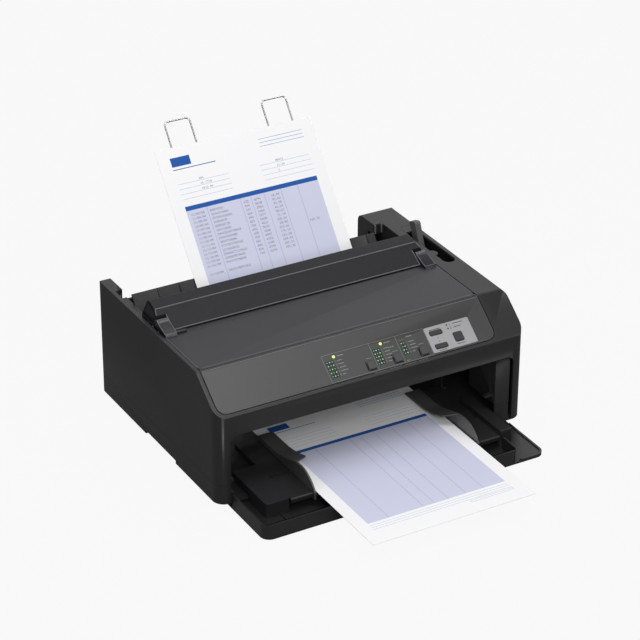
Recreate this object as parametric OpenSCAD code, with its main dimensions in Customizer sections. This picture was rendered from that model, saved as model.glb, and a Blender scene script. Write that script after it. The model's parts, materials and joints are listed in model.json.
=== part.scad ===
// Desktop impact printer: moulded case with hinged covers, print mechanism, sheet guides
// and two loaded sheets. X runs to the right, Y to the back, Z up; it stands on Z = 0.

/* [Case] */
// Width of the case over its side walls
case_w = 414; // [400:1:440]
// Depth of the case from its front face to its rear face
case_d = 309.5; // [300:0.5:330]
// Height of the side walls' tops above the table
case_top = 160; // [156:1:170]
// Height of the rubber feet, which is the gap below the case
foot_h = 8; // [6:0.5:10]
// Height of the line where the lower and the upper case meet
seam_z = 33; // [28:1:38]
// Thickness of the moulded walls
wall = 3; // [2.5:0.1:3.5]
// Radius of the case's upright front corners
front_corner_r = 15; // [10:1:18]
// Height at which the sloping front would meet the front face
slope_z = 120.6; // [116:0.2:124]
// Angle of the sloping front above level
slope_a = 37.8; // [35:0.2:40]
// Width of the left wall's top strip
left_strip = 5; // [4:0.5:7]
// Width of the right housing beside the covers
right_housing = 38; // [34:1:42]
// Height of the rear wall's top edge
rear_wall_z = 123; // [118:1:128]

/* [Front opening] */
// Height of the front opening's upper edge
mouth_top = 96; // [92:1:100]
// Width of the pillar left of the front opening
left_pillar = 16.5; // [14:0.5:20]
// Width of the pillar right of the front opening
right_pillar = 16; // [12:1:20]
// Width of the set-back cheek beside the right pillar
cheek_w = 20; // [16:1:24]
// Groove between the cheek and the right pillar
cheek_gap = 3; // [1:0.5:5]

/* [Control panel] */
// Thickness of the panel moulding
panel_t = 2.5; // [2:0.1:3]
// Corner radius at the panel's lower corners
panel_r = 12; // [6:1:14]
// Distance up the slope from its foot to the panel's lower edge
panel_foot = 5.5; // [4:0.5:8]
// Travel of a key
key_travel = 1; // [0.6:0.1:1.2]
// Height of a key above the panel
key_rise = 1.4; // [1.2:0.1:2]
// Clear gap round a key
key_gap = 0.4; // [0.3:0.05:0.6]
// Width of a select key
select_key_w = 10; // [8:0.5:11]
// Length of a select key up the slope
select_key_l = 10.5; // [9:0.5:14]
// Width of a wide key
wide_key_w = 17; // [14:0.5:18]
// Length of a wide key up the slope
wide_key_l = 6; // [5:0.5:7]
// Side of the square key
square_key = 12; // [11:0.5:13.5]

/* [Covers] */
// Thickness of the covers' plates
cover_t = 2.5; // [2:0.1:3]
// Clear gap round the covers
cover_gap = 1; // [0.8:0.1:1.5]
// Depth from the front face to the line where the front cover meets the rear cover
cover_split_y = 148; // [144:1:152]
// Height of the rear cover's crest
crest_z = 177; // [172:1:180]
// Depth of the rear cover's crest
crest_y = 177; // [174:1:180]
// Depth of the rear cover's back edge
rear_cover_y = 198; // [196:1:202]
// Width of the front cover's hinge arms
arm_w = 15; // [12:1:18]
// Radius of the front cover's hinge barrels
barrel_r = 5; // [4:0.5:6]
// Radius of the covers' hinge pins
hinge_pin_r = 2; // [1.5:0.1:2.5]

/* [Sheets] */
// Width of a sheet
sheet_w = 215.9; // [200:0.1:220]
// Length of a sheet
sheet_l = 279.4; // [270:0.1:297]
// Thickness of a sheet with its coating
sheet_t = 0.4; // [0.3:0.05:0.5]
// Sideways place of the sheets' centre line
sheet_x = 4.5; // [2:0.5:6]
// Angle of the rear sheet above level
sheet_a = 51.6; // [48:0.2:55]
// How far the front sheet reaches past the case's front face
front_reach = 169.5; // [150:0.5:180]

/* [Front guide] */
// Height of the sheet table's top
table_z = 20.3; // [19:0.1:22]
// Thickness of the sheet table
table_t = 6.5; // [5:0.5:8]
// How far the table reaches past the case's front face
table_reach = 43; // [38:1:48]
// Width of the left end block
left_block = 32; // [26:1:36]
// Width of the right end block
right_block = 19; // [15:1:22]
// How far the front tray reaches past the case's front face
tray_reach = 79; // [74:1:84]
// Height of the front tray's wall above the table
tray_wall_z = 19.8; // [18:0.2:20]
// Width of the tray's low flange on the right
tray_flange = 40; // [34:1:44]
// Height of the edge guides above the sheet table
fin_h = 19; // [17:0.5:22]
// Width of the edge guides' hold-down leaf
fin_flange = 20; // [16:1:24]

/* [Print mechanism] */
// Radius of the platen's rubber
platen_r = 13; // [11:0.5:14]
// Depth of the platen's axis
platen_y = 185; // [182:1:188]
// Height of the platen's axis
platen_z = 92; // [90:0.5:95]
// Radius of the platen's shaft
platen_shaft_r = 4; // [3:0.5:5]
// Radius of the carriage's guide shaft
guide_shaft_r = 6; // [5:0.5:7]
// Running clearance of a shaft in its bore
run = 0.05; // [0.02:0.01:0.09]
// Width of the carriage
carriage_w = 60; // [52:1:66]
// Travel of the carriage to either side of the middle
carriage_travel = 80; // [60:5:85]
// Radius of the turning knob
knob_r = 20; // [16:1:24]
// Length of the turning knob
knob_l = 13; // [10:1:16]
// Size of a gear tooth: pitch diameter over tooth count
tooth = 0.8; // [0.7:0.05:0.9]
// Teeth on the platen's gear
platen_teeth = 44; // [40:1:48]
// Teeth on the idler gear under the platen
idler_teeth = 30; // [26:1:34]
// Teeth on the feed motor's pinion
pinion_teeth = 12; // [10:1:14]
// Teeth on the transfer gear and on the tractor's gear
tractor_teeth = 40; // [38:1:42]

/* [Rear guide] */
// Height of the rear guide's top edge
guide_top_z = 159; // [154:1:162]
// Radius of the wire supports
wire_r = 1; // [0.8:0.1:1.3]
// Distance between a wire support's legs
wire_span = 34; // [28:1:38]
// Length of a wire support
wire_l = 203; // [170:1:210]

/* [Hidden] */
$fn = 48;

// Case: derived places
half_w = case_w / 2;
slope_t = tan(slope_a);
crease_r = 8;
shoulder_r = 6;
rear_corner_r = 10;
right_edge_r = 8;
inner_left = -half_w + left_strip;
inner_right = half_w - right_housing;
shoulder_y = (case_top - slope_z) / slope_t;
slope_len = (case_top - slope_z) / sin(slope_a);
rear_y = case_d;
floor_z = foot_h + wall;
mouth_left = -half_w + left_pillar;
open_right = half_w - right_pillar;
cheek_right = open_right - cheek_gap;
mouth_right = cheek_right - cheek_w;
seat = 0.3;
rear_post_w = 14.5;
rear_post_y = rear_y - 40;
rear_housing_w = 50;
rear_housing_y = rear_y - 25;
left_ledge_z = case_top - 12;
left_ledge_w = 15;

// Covers: derived places
cover_left = inner_left + cover_gap;
cover_right = inner_right - cover_gap;
cover_top = case_top - 0.5;
cover_front_y = shoulder_y + cover_gap + 3;
bar_z = cover_top + 1;
bar_a = atan((crest_z - bar_z) / (crest_y - cover_split_y));
pin_y = (cover_split_y + crest_y) / 2;
pin_z = bar_z + (pin_y - cover_split_y) * tan(bar_a) - barrel_r * 0.75;
bar_back_z = crest_z + 3;
rear_pin_y = rear_cover_y - 5;
rear_pin_z = case_top - 11;

// Sheets: the rear sheet runs down a slope and round the underside of the platen
sheet_left = sheet_x - sheet_w / 2;
sheet_right = sheet_x + sheet_w / 2;
nip = 0.3;
wrap_r = platen_r + nip;
touch_y = platen_y + wrap_r * sin(sheet_a);
touch_z = platen_z - wrap_r * cos(sheet_a);
wrap_a = 95;
wrap_l = (wrap_r + sheet_t / 2) * wrap_a * PI / 180;
rear_sheet_l = sheet_l - wrap_l;

// Print mechanism: derived places
frame_left = -half_w + 23;
frame_right = half_w - 57;
frame_t = 1.5;
guide_shaft_y = platen_y - 53;
guide_shaft_z = platen_z - 12;
rail_y = platen_y - 84;
rail_z = platen_z - 18;
carriage_mid = (frame_left + frame_right) / 2;
carriage_rest = carriage_mid + 20;
platen_left = sheet_left - 44;
platen_right = sheet_right + 6;
knob_x = half_w + 1;
gear_w = 5;
gear_x = frame_right + frame_t + 2;
mesh = 0.15;
function pitch_r(n) = tooth * n / 2;
idler_a = -95;
idler_c = pitch_r(platen_teeth) + pitch_r(idler_teeth) + mesh;
idler_y = platen_y + idler_c * cos(idler_a);
idler_z = platen_z + idler_c * sin(idler_a);
pinion_a = -45;
pinion_c = pitch_r(idler_teeth) + pitch_r(pinion_teeth) + mesh;
motor_y = idler_y + pinion_c * cos(pinion_a);
motor_z = idler_z + pinion_c * sin(pinion_a);
transfer_a = -14;
transfer_c = pitch_r(platen_teeth) + pitch_r(tractor_teeth) + mesh;
transfer_y = platen_y + transfer_c * cos(transfer_a);
transfer_z = platen_z + transfer_c * sin(transfer_a);
tractor_a = 10;
tractor_c = pitch_r(tractor_teeth) * 2 + mesh;
tractor_y = transfer_y + tractor_c * cos(tractor_a);
tractor_z = transfer_z + tractor_c * sin(tractor_a);
tractor_rail_z = tractor_z - 22;
pulley_r = 6;
belt_y = guide_shaft_y - 10;
belt_z = guide_shaft_z - 26;
belt_h = 6;
belt_t = 1.2;
belt_left = frame_left + 16;
belt_right = frame_right - 14;
ribbon_y = platen_y - platen_r - 1.2;
nose_y = ribbon_y - 0.5;
cartridge_z = 120;
cartridge_h = 15;
cartridge_y0 = rail_y - 12;
cartridge_y1 = guide_shaft_y - 6;
cartridge_left = frame_left + 16.5;
cartridge_right = frame_right - 13.5;

// Electrics in the floor: derived places
board_x0 = frame_left + 12;
board_x1 = frame_right - 22;
board_y0 = tractor_y - 46;
board_y1 = rear_y - 10;
supply_x0 = -half_w + 40;
supply_w = 54;
supply_l = 62;
supply_h = 38;
supply_y1 = rear_y - 32.5;
chip_w = 24;
can_r = 6;

// Whole object: its middle in plan is the origin
guide_s0 = 32;
guide_s1 = (guide_top_z - touch_z) / sin(sheet_a);
guide_hinge_y = touch_y + guide_s0 * cos(sheet_a);
guide_hinge_z = touch_z + guide_s0 * sin(sheet_a);
wire_s = guide_s1 - 9;
wire_n = 3.2;
wire_tilt = asin((wire_n - sheet_t - wire_r - seat) / wire_l);
wire_a = sheet_a + wire_tilt;
wire_y = touch_y + wire_s * cos(sheet_a) + wire_n * sin(sheet_a);
wire_z = touch_z + wire_s * sin(sheet_a) - wire_n * cos(sheet_a);
span_y0 = -front_reach;
span_y1 = wire_y + wire_l * cos(wire_a) + wire_r;
shift_x = -(knob_x + knob_l - half_w) / 2;
shift_y = -(span_y0 + span_y1) / 2;

// ---------- shared shapes ----------

// Points of an arc in the depth-height plane
function arc(y, z, r, a0, a1, n = 8) =
    [for (i = [0:n]) let (a = a0 + (a1 - a0) * i / n) [y + r * cos(a), z + r * sin(a)]];

// A depth-height outline drawn out along the width
module along_x(x0, x1) translate([x0, 0, 0]) rotate([90, 0, 90]) linear_extrude(x1 - x0) children();

// A round bar along the width
module rod_x(x0, x1, y, z, r) translate([x0, y, z]) rotate([0, 90, 0]) cylinder(h = x1 - x0, r = r);

// A round bar along the depth
module rod_y(x, y0, y1, z, r) translate([x, y0, z]) rotate([-90, 0, 0]) cylinder(h = y1 - y0, r = r);

// A block given by its two corners
module block(a, b) translate(a) cube(b - a);

// A flat rectangle with round corners, given by its two corners
module rounded(a, b, r) {
    translate([a.x + r, a.y]) square([b.x - a.x - 2 * r, b.y - a.y]);
    translate([a.x, a.y + r]) square([b.x - a.x, b.y - a.y - 2 * r]);
    for (x = [a.x + r, b.x - r], y = [a.y + r, b.y - r]) translate([x, y]) circle(r);
}

// Children lie on the sloping front: X to the right, Y up the slope, Z outwards
module on_slope() translate([0, 0, slope_z]) rotate([slope_a, 0, 0]) children();

// Children lie in the rear sheet's plane: Y up the sheet from the platen, Z towards the front
module on_sheet() translate([0, touch_y, touch_z]) rotate([sheet_a, 0, 0]) children();

// Seen from the side: the upper case's outline, moved inwards by w
function side_points(w, z0) = let (
        rc = max(crease_r - w, 0.5),
        rs = max(shoulder_r - w, 0.5),
        rr = max(rear_corner_r - w, 0.5),
        base = slope_z - w / cos(slope_a),
        top = case_top - w,
        cy = w + rc,
        cz = base + slope_t * cy - rc / cos(slope_a),
        sy = (top - rs + rs / cos(slope_a) - base) / slope_t,
        ry = rear_y - w - rr)
    concat([[w, z0]], arc(cy, cz, rc, 180, 90 + slope_a), arc(sy, top - rs, rs, 90 + slope_a, 90, 5),
        arc(ry, top - rr, rr, 90, 0), [[rear_y - w, z0]]);

// Seen from above: the case's outline, moved inwards by w
module plan(w) {
    rf = max(front_corner_r - w, 1);
    rr = max(rear_corner_r - w, 1);
    x = half_w - w;
    difference() {
        translate([-x, w]) square([2 * x, rear_y - 2 * w]);
        for (s = [-1, 1]) {
            translate([s * x - rf, w - rf]) square(2 * rf);
            translate([s * x - rr, rear_y - w - rr]) square(2 * rr);
        }
    }
    for (s = [-1, 1]) {
        translate([s * (x - rf), w + rf]) circle(rf);
        translate([s * (x - rr), rear_y - w - rr]) circle(rr);
    }
}

// The upper case's outer form, moved inwards by w
module case_form(w, z0) intersection() {
    along_x(-half_w + w, half_w - w) polygon(side_points(w, z0));
    translate([0, 0, z0]) linear_extrude(case_top - z0) plan(w);
}

// A spur gear with trapezoid teeth, its axis along the width
module gear(x, y, z, n, turn, bore) {
    r = pitch_r(n);
    step = 360 / n;
    pts = [for (i = [0:n - 1], k = [[-0.27, -1.15], [-0.13, 0.85], [0.13, 0.85], [0.27, -1.15]])
        let (a = turn + (i + k[0]) * step, q = r + tooth * k[1]) [q * cos(a), q * sin(a)]];
    translate([x, y, z]) rotate([90, 0, 90]) difference() {
        linear_extrude(gear_w) polygon(pts);
        translate([0, 0, -1]) cylinder(h = gear_w + 2, r = bore);
        if (n > 20) translate([0, 0, gear_w - 1.5]) difference() {
            cylinder(h = 2, r = r - 3.2);
            translate([0, 0, -1]) cylinder(h = 4, r = bore + 3);
        }
    }
}

// ---------- case ----------

module lower_case() color("#262626") {
    inside = [-half_w + wall, half_w - wall];
    difference() {
        translate([0, 0, foot_h]) linear_extrude(seam_z - seat - foot_h) plan(0);
        difference() {
            translate([0, 0, floor_z]) linear_extrude(seam_z) plan(wall);
            // hoods over the hand grips
            for (s = [-1, 1]) translate([s * half_w, grip_y, foot_h])
                cube([grip_w + 2 * wall, grip_l + 2 * wall, grip_h + 2 * wall], center = true);
        }
        // the front opening and the seat for the tray
        block([mouth_left, -1, foot_h + 1], [open_right, wall + 1, seam_z + 1]);
        // hand grips in both sides' lower edges
        for (s = [-1, 1]) translate([s * half_w, grip_y, foot_h]) cube([grip_w, grip_l, grip_h], center = true);
        // openings for the rear ports
        for (p = rear_openings) block([p[0], rear_y - wall - 1, p[1]], [p[2], rear_y + 1, seam_z + 1]);
        // cooling slots through the floor
        for (x = [-half_w + 47:20:half_w - 67], y = [rear_y - 99.5, rear_y - 59.5])
            block([x, y, foot_h - 1], [x + 4, y + 26, floor_z + 1]);
        for (p = screw_places) translate([p.x, p.y, foot_h - 1]) cylinder(h = wall + 3, r = 2.2);
    }
    // bosses that take the case screws
    for (p = screw_places) translate([p.x, p.y, floor_z]) difference() {
        cylinder(h = seam_z - seat - floor_z, r = 5);
        translate([0, 0, -1]) cylinder(h = seam_z, r = 2.2);
    }
    // ribs that carry the sheet table
    for (i = [0:3]) let (x = table_left + 4 + i * (table_right - table_left - 10) / 3)
        block([x, 12, floor_z], [x + 2, 70, table_z - table_t - 0.2]);
    // lower part of the cheek, and small catches beside the opening
    block([mouth_right, wall - 0.1, foot_h + 0.5], [cheek_right, 2 * wall, seam_z - seat]);
    for (z = [foot_h + 4, foot_h + 12]) block([mouth_left - 2, wall / 2, z], [mouth_left + 5, wall + 5, z + 1.8]);
    // feet for the mechanism's frames
    for (x = [frame_left, frame_right], y = [rail_y, tractor_y])
        block([x - 6, y - 6, floor_z], [x + 8, y + 6, frame_foot_z]);
    // posts under the circuit board
    for (p = board_posts) translate([p.x, p.y, floor_z]) cylinder(h = board_z - floor_z, r = 4);
}

grip_w = 24;
grip_l = 78;
grip_h = 8;
grip_y = rear_y / 2 - 8;

screw_places = [[-half_w + 14, 30], [half_w - 14, 30], [-half_w + 14, rear_y - 16], [half_w - 14, rear_y - 16]];
// Rear openings: left edge, sill height and right edge of each
port_sill = floor_z + 6;
rear_openings = [[supply_x0 - 1, port_sill, supply_x0 + 27], [board_x1 - 118, port_sill, board_x1 - 56],
    [board_x1 - 44, port_sill, board_x1 - 30]];
board_z = floor_z + 4;
board_posts = [for (x = [board_x0 + 92, board_x1 - 68], y = [board_y0 + 8.5, board_y1 - 9.5]) [x, y]];
frame_foot_z = floor_z + 4;

module upper_case() color("#2b2b2b") difference() {
    upper_shell();
    for (p = screw_places) translate([p.x, p.y, seam_z - 1]) cylinder(h = 13, r = 1.6);
}

module upper_shell() {
    difference() {
        case_form(0, seam_z);
        // the hollow inside; the right housing keeps its inner wall
        difference() {
            case_form(wall, seam_z - 1);
            on_slope() block([-half_w, -4, -9], [half_w, slope_len + 3, 1]);
            block([inner_right, wall, mouth_top - 16], [inner_right + wall, rear_housing_y + wall, case_top]);
            block([half_w - rear_housing_w, rear_housing_y, 0], [inner_right + wall, rear_y, case_top]);
            block([-half_w, shoulder_y - 6, 0], [inner_left, rear_y, case_top]);
            block([-half_w, rear_post_y, 0], [-half_w + rear_post_w, rear_y, case_top]);
            block([-half_w, rear_cover_y + 2, 0], [inner_left + left_ledge_w, rear_post_y, left_ledge_z]);
        }
        // hollows behind the thick front and in the rear posts
        on_slope() block([panel_x0 + 9, panel_foot + 6, -12], [panel_x1 - 9, slope_len - 3, 1]);
        on_slope() block([inner_right + wall, 3, -12], [half_w - wall, slope_len - 3, -wall]);
        block([-half_w + wall, rear_post_y + wall, seam_z - 1],
            [-half_w + rear_post_w - wall, rear_y - wall, case_top - wall]);
        block([half_w - rear_housing_w + wall, rear_housing_y + wall, seam_z - 1],
            [half_w - wall, rear_y - wall, case_top - wall]);
        block([-half_w + wall, shoulder_y + 4, seam_z - 1], [inner_left + left_ledge_w - wall,
            rear_post_y - wall, left_ledge_z - wall]);
        // the front opening
        translate([0, wall + 22, 0]) rotate([90, 0, 0]) linear_extrude(wall + 24)
            rounded([mouth_left, 0], [open_right, mouth_top], 9);
        // the tops that the covers close, and the open space over the rear paper path
        block([inner_left, shoulder_y - 0.5, mouth_top + 8], [inner_right, rear_cover_y + 2, case_top + 1]);
        block([inner_left + left_ledge_w, rear_cover_y, rear_wall_z], [half_w - rear_housing_w,
            rear_y + 1, case_top + 1]);
        block([inner_left, rear_cover_y, left_ledge_z], [0, rear_post_y, case_top + 1]);
        block([-half_w + rear_post_w, rear_post_y - 8, left_ledge_z], [0, rear_y + 1, case_top + 1]);
        block([0, rear_cover_y, rear_wall_z], [inner_right, rear_housing_y, case_top + 1]);
        // the bed of the control panel, and room under the keys
        panel_zone(cover_gap / 2, panel_t + 0.1);
        on_slope() translate([0, 0, -12]) linear_extrude(12) key_holes(key_gap + 0.5);
        // slot of the release lever with its lobe
        difference() {
            translate([0, 0, case_top - wall - 1]) linear_extrude(wall + 2)
                rounded([lever_x - 8, slot_y0], [lever_x + 8, slot_y1], 7.9);
            translate([lever_x - 9, slot_y0 + 31, 0]) cylinder(h = case_top + 2, r = 7);
        }
        rod_x(inner_right - 1, inner_right + wall + 1, lever_y, lever_z, lever_shaft_r + run);
        // bearings of the rear cover's pins, and the hole for the platen's shaft
        rod_x(inner_left - 3, inner_left + 0.1, rear_pin_y, rear_pin_z, hinge_pin_r + run);
        rod_x(inner_right - 0.1, inner_right + wall + 0.1, rear_pin_y, rear_pin_z, hinge_pin_r + run);
        rod_x(inner_right - 1, half_w + 1, platen_y, platen_z, platen_shaft_r + 1.5);
        // the round right edge of the top and of the slope
        difference() {
            block([half_w - right_edge_r, 0, case_top - right_edge_r], [half_w + 1, rear_y + 1, case_top + 1]);
            rod_y(half_w - right_edge_r, -1, rear_y + 2, case_top - right_edge_r, right_edge_r);
        }
        // cooling slots in the rear wall and in the left side
        for (i = [0:9]) block([-40 + i * 9, rear_y - wall - 1, seam_z + 20], [-36 + i * 9, rear_y + 1, seam_z + 60]);
        for (p = rear_openings) block([p[0], rear_y - wall - 1, seam_z - 1], [p[2], rear_y + 1, p[1] + port_h]);
    }
    // cheek of the front opening with its hooks
    block([mouth_right, wall - 0.1, seam_z], [cheek_right, 2 * wall, mouth_top + 6]);
    block([mouth_right, wall - 0.1, seam_z], [mouth_right + wall, 60, mouth_top + 6]);
    block([mouth_right - 1, wall - 0.1, mouth_top + 3], [open_right + 2, 25, mouth_top + 6]);
    block([mouth_right - 12, 6, 44], [mouth_right + 0.5, 12, 47]);
    block([mouth_left - 3, wall - 0.5, seam_z + 2], [mouth_left + 5, 12, seam_z + 5]);
    // bosses over the case screws, each held to the side wall by a web
    for (p = screw_places) {
        translate([p.x, p.y, seam_z]) cylinder(h = 16, r = 5);
        translate([p.x + sign(p.x) * 7.7, p.y, seam_z + 8]) cube([8, 3, 16], center = true);
    }
}

port_h = 18;
lever_x = half_w - 18;

module feet() color("#1a1a1a") for (x = [-half_w + 34, half_w - 34], y = [34, rear_y - 30])
    translate([x, y, 0]) {
        cylinder(h = foot_h - 2, r1 = 8, r2 = 9);
        translate([0, 0, foot_h - 2]) cylinder(h = 2, r = 9);
    }

module case_screws() color("#8a8a8c") for (p = screw_places) translate([p.x, p.y, foot_h - 1.8])
    difference() {
        union() {
            cylinder(h = 1.8, r = 3.6);
            cylinder(h = seam_z - foot_h + 8, r = 1.55);
        }
        for (a = [0, 90]) rotate([0, 0, a]) translate([-2.2, -0.4, -0.1]) cube([4.4, 0.8, 1.1]);
    }

// ---------- control panel, in the slope's own directions ----------

panel_x0 = inner_left + cover_gap / 2;
panel_x1 = inner_right;
board_n = 8;
lever_y = platen_y + 15;
lever_z = platen_z + 16;
lever_shaft_r = 3;
slot_y0 = 138;
slot_y1 = 250;
select_keys = [panel_x1 - 168, panel_x1 - 132.5, panel_x1 - 97];
select_key_s = 15.2;
wide_key_x = panel_x1 - 73;
feed_key_s = 15;
load_key_s = 32.5;
square_key_at = [panel_x1 - 47, 20.6];
plate_x0 = panel_x1 - 86.5;
plate_x1 = panel_x1 - 25.5;
light_places = [[panel_x1 - 209, 37.6, 1.8], [panel_x1 - 146.3, 37.6, 1.8], [panel_x1 - 121, 35.2, 0.9],
    [panel_x1 - 117.8, 35.2, 0.9]];
panel_posts = [panel_x0 + 23.5, panel_x0 + 131.5, panel_x1 - 149, panel_x1 - 19];

// The panel's outline on the slope, grown by g
module panel_outline(g) {
    r = panel_r;
    translate([panel_x0 - g, panel_foot + r]) square([panel_x1 - panel_x0 + 2 * g, slope_len + 4 - panel_foot - r]);
    translate([panel_x0 + r, panel_foot - g]) square([panel_x1 - panel_x0 - 2 * r, r + g]);
    for (x = [panel_x0 + r, panel_x1 - r]) translate([x, panel_foot + r]) circle(r + g);
}

// The space the panel fills: its outline grown by g, down to depth d under the case's outer form
module panel_zone(g, d) difference() {
    on_slope() translate([0, 0, -12]) linear_extrude(24) panel_outline(g);
    along_x(-half_w - 1, half_w + 1) polygon(side_points(d, seam_z));
}

// All six keys' outlines, grown by g
module key_holes(g) {
    for (x = select_keys) translate([x, select_key_s]) key_outline(select_key_w, select_key_l, 2.5, g);
    for (s = [feed_key_s, load_key_s]) translate([wide_key_x, s]) key_outline(wide_key_w, wide_key_l, 2, g);
    translate(square_key_at) key_outline(square_key, square_key, 2, g);
}

module key_outline(w, l, r, g) rounded([-w / 2 - g, -l / 2 - g], [w / 2 + g, l / 2 + g], r + g);

module control_panel() color("#4c4c4e") difference() {
    union() {
        intersection() {
            panel_zone(0, panel_t);
            along_x(-half_w, half_w) polygon(side_points(0, seam_z));
            block([-half_w, 0, 0], [half_w, shoulder_y + 3, case_top + 1]);
        }
        // posts that carry the panel's board
        on_slope() for (x = panel_posts, s = [16, 54])
            translate([x, s, -board_n + 0.1]) cylinder(h = board_n - panel_t + 0.2, r = 2.5);
    }
    on_slope() translate([0, 0, -panel_t - 1]) linear_extrude(panel_t + 3) {
        key_holes(key_gap);
        for (p = light_places) translate([p.x, p.y]) circle(p.z + 0.1);
    }
    // shallow bed of the plate round the paper keys
    on_slope() translate([0, 0, -0.3]) linear_extrude(2)
        rounded([plate_x0 - 0.1, 8], [plate_x1 + 0.1, 41.2], 2.1);
}

module key_plate() color("#b0b0b2") on_slope() translate([0, 0, -0.25]) linear_extrude(0.6) difference() {
    rounded([plate_x0, 8.1], [plate_x1, 41.1], 2);
    key_holes(key_gap);
}

module indicator_lights() color("#ffb040") on_slope() for (p = light_places)
    translate([p.x, p.y, -board_n + 0.1]) {
        cylinder(h = board_n + 0.2, r = p.z);
        cylinder(h = 1, r = p.z + 0.5);
    }

module panel_board() color("#2f5a38") on_slope() {
    difference() {
        block([panel_posts[0] - 6, 13, -board_n - 1.6], [panel_posts[3] + 6, 57, -board_n]);
        for (x = [panel_posts[0], panel_posts[3]]) translate([x, 35, -board_n - 3]) cylinder(h = 5, r = 1.6);
    }
    // switches under the keys
    for (p = concat([for (x = select_keys) [x, select_key_s]], [[wide_key_x, feed_key_s],
        [wide_key_x, load_key_s], square_key_at]))
        translate([p.x - 2.5, p.y - 2.5, -board_n - 0.1]) cube([5, 5, 1.4]);
    // socket of the flat cable
    block([panel_x1 - 109, 40, -board_n - 0.1], [panel_x1 - 69, 45, -board_n + 3]);
}

// A key standing proud of the panel, with a stem down to its switch
module key_form(w, l, r) {
    translate([0, 0, -3]) linear_extrude(key_rise + 2.5) key_outline(w, l, r, 0);
    translate([0, 0, key_rise - 0.5]) linear_extrude(0.5) key_outline(w, l, r, -0.5);
    translate([0, 0, -board_n + 1.5 + key_travel]) cylinder(h = 2.6, r = 1.8);
}

module key_left() color("#8e8e90") on_slope() translate([select_keys[0], select_key_s]) key_form(select_key_w, select_key_l, 2.5);
module key_middle() color("#8e8e90") on_slope() translate([select_keys[1], select_key_s]) key_form(select_key_w, select_key_l, 2.5);
module key_right() color("#8e8e90") on_slope() translate([select_keys[2], select_key_s]) key_form(select_key_w, select_key_l, 2.5);
module key_feed() color("#303033") on_slope() translate([wide_key_x, feed_key_s]) key_form(wide_key_w, wide_key_l, 2);
module key_load() color("#303033") on_slope() translate([wide_key_x, load_key_s]) key_form(wide_key_w, wide_key_l, 2);
module key_pause() color("#303033") on_slope() translate(square_key_at) key_form(square_key, square_key, 2);

// ---------- covers ----------

bar_right = cover_right - 1.5;
arm_x0 = [cover_left + 0.5, bar_right - 0.5 - arm_w];
cheek_x = [cover_left + arm_w + 1, bar_right - arm_w - 1];

module printer_cover() color("#46464e") difference() {
    union() {
        // the flat sheet with its turned-down rim
        translate([0, 0, cover_top - cover_t]) linear_extrude(cover_t)
            rounded([cover_left, cover_front_y], [cover_right, cover_split_y - cover_gap], 4);
        for (x = [cover_left + 2, cover_right - 4])
            block([x, cover_front_y + 5, cover_top - 8], [x + 2, cover_split_y - 6, cover_top - 1]);
        block([cover_left + 8, cover_front_y + 1.5, cover_top - 6], [cover_right - 8, cover_front_y + 3.5,
            cover_top - 1]);
        block([cheek_x[0], cover_split_y - 6, cover_top - 7], [cheek_x[1], cover_split_y - 4, cover_top - 1]);
        // arms that rise to the hinge
        for (x = arm_x0) {
            along_x(x, x + arm_w) polygon([[cover_split_y - 12, cover_top - 1], [cover_split_y - 2, cover_top - 5],
                [pin_y - 1, pin_z - barrel_r + 0.2], [pin_y - 3, pin_z + barrel_r - 1],
                [cover_split_y - 9, cover_top + 3]]);
            rod_x(x, x + arm_w, pin_y, pin_z, barrel_r);
        }
        // stop beside the left arm's foot
        block([cheek_x[0], cover_split_y - 8, cover_top - 1], [cheek_x[0] + 13, cover_split_y - 3, cover_top + 2]);
    }
    for (x = arm_x0) rod_x(x - 1, x + arm_w + 1, pin_y, pin_z, hinge_pin_r + run);
}

module rear_cover() color("#3a383c") intersection() {
    rear_cover_body();
    // slanted ends
    translate([0, rear_cover_y + 20, 0]) rotate([90, 0, 0]) linear_extrude(90) polygon([[cover_left, 100],
        [cover_left, bar_z + 3], [cover_left + end_slant, bar_back_z + 1], [bar_right - end_slant, bar_back_z + 1],
        [bar_right, bar_z + 3], [bar_right, 100]]);
}

end_slant = 8;

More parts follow.
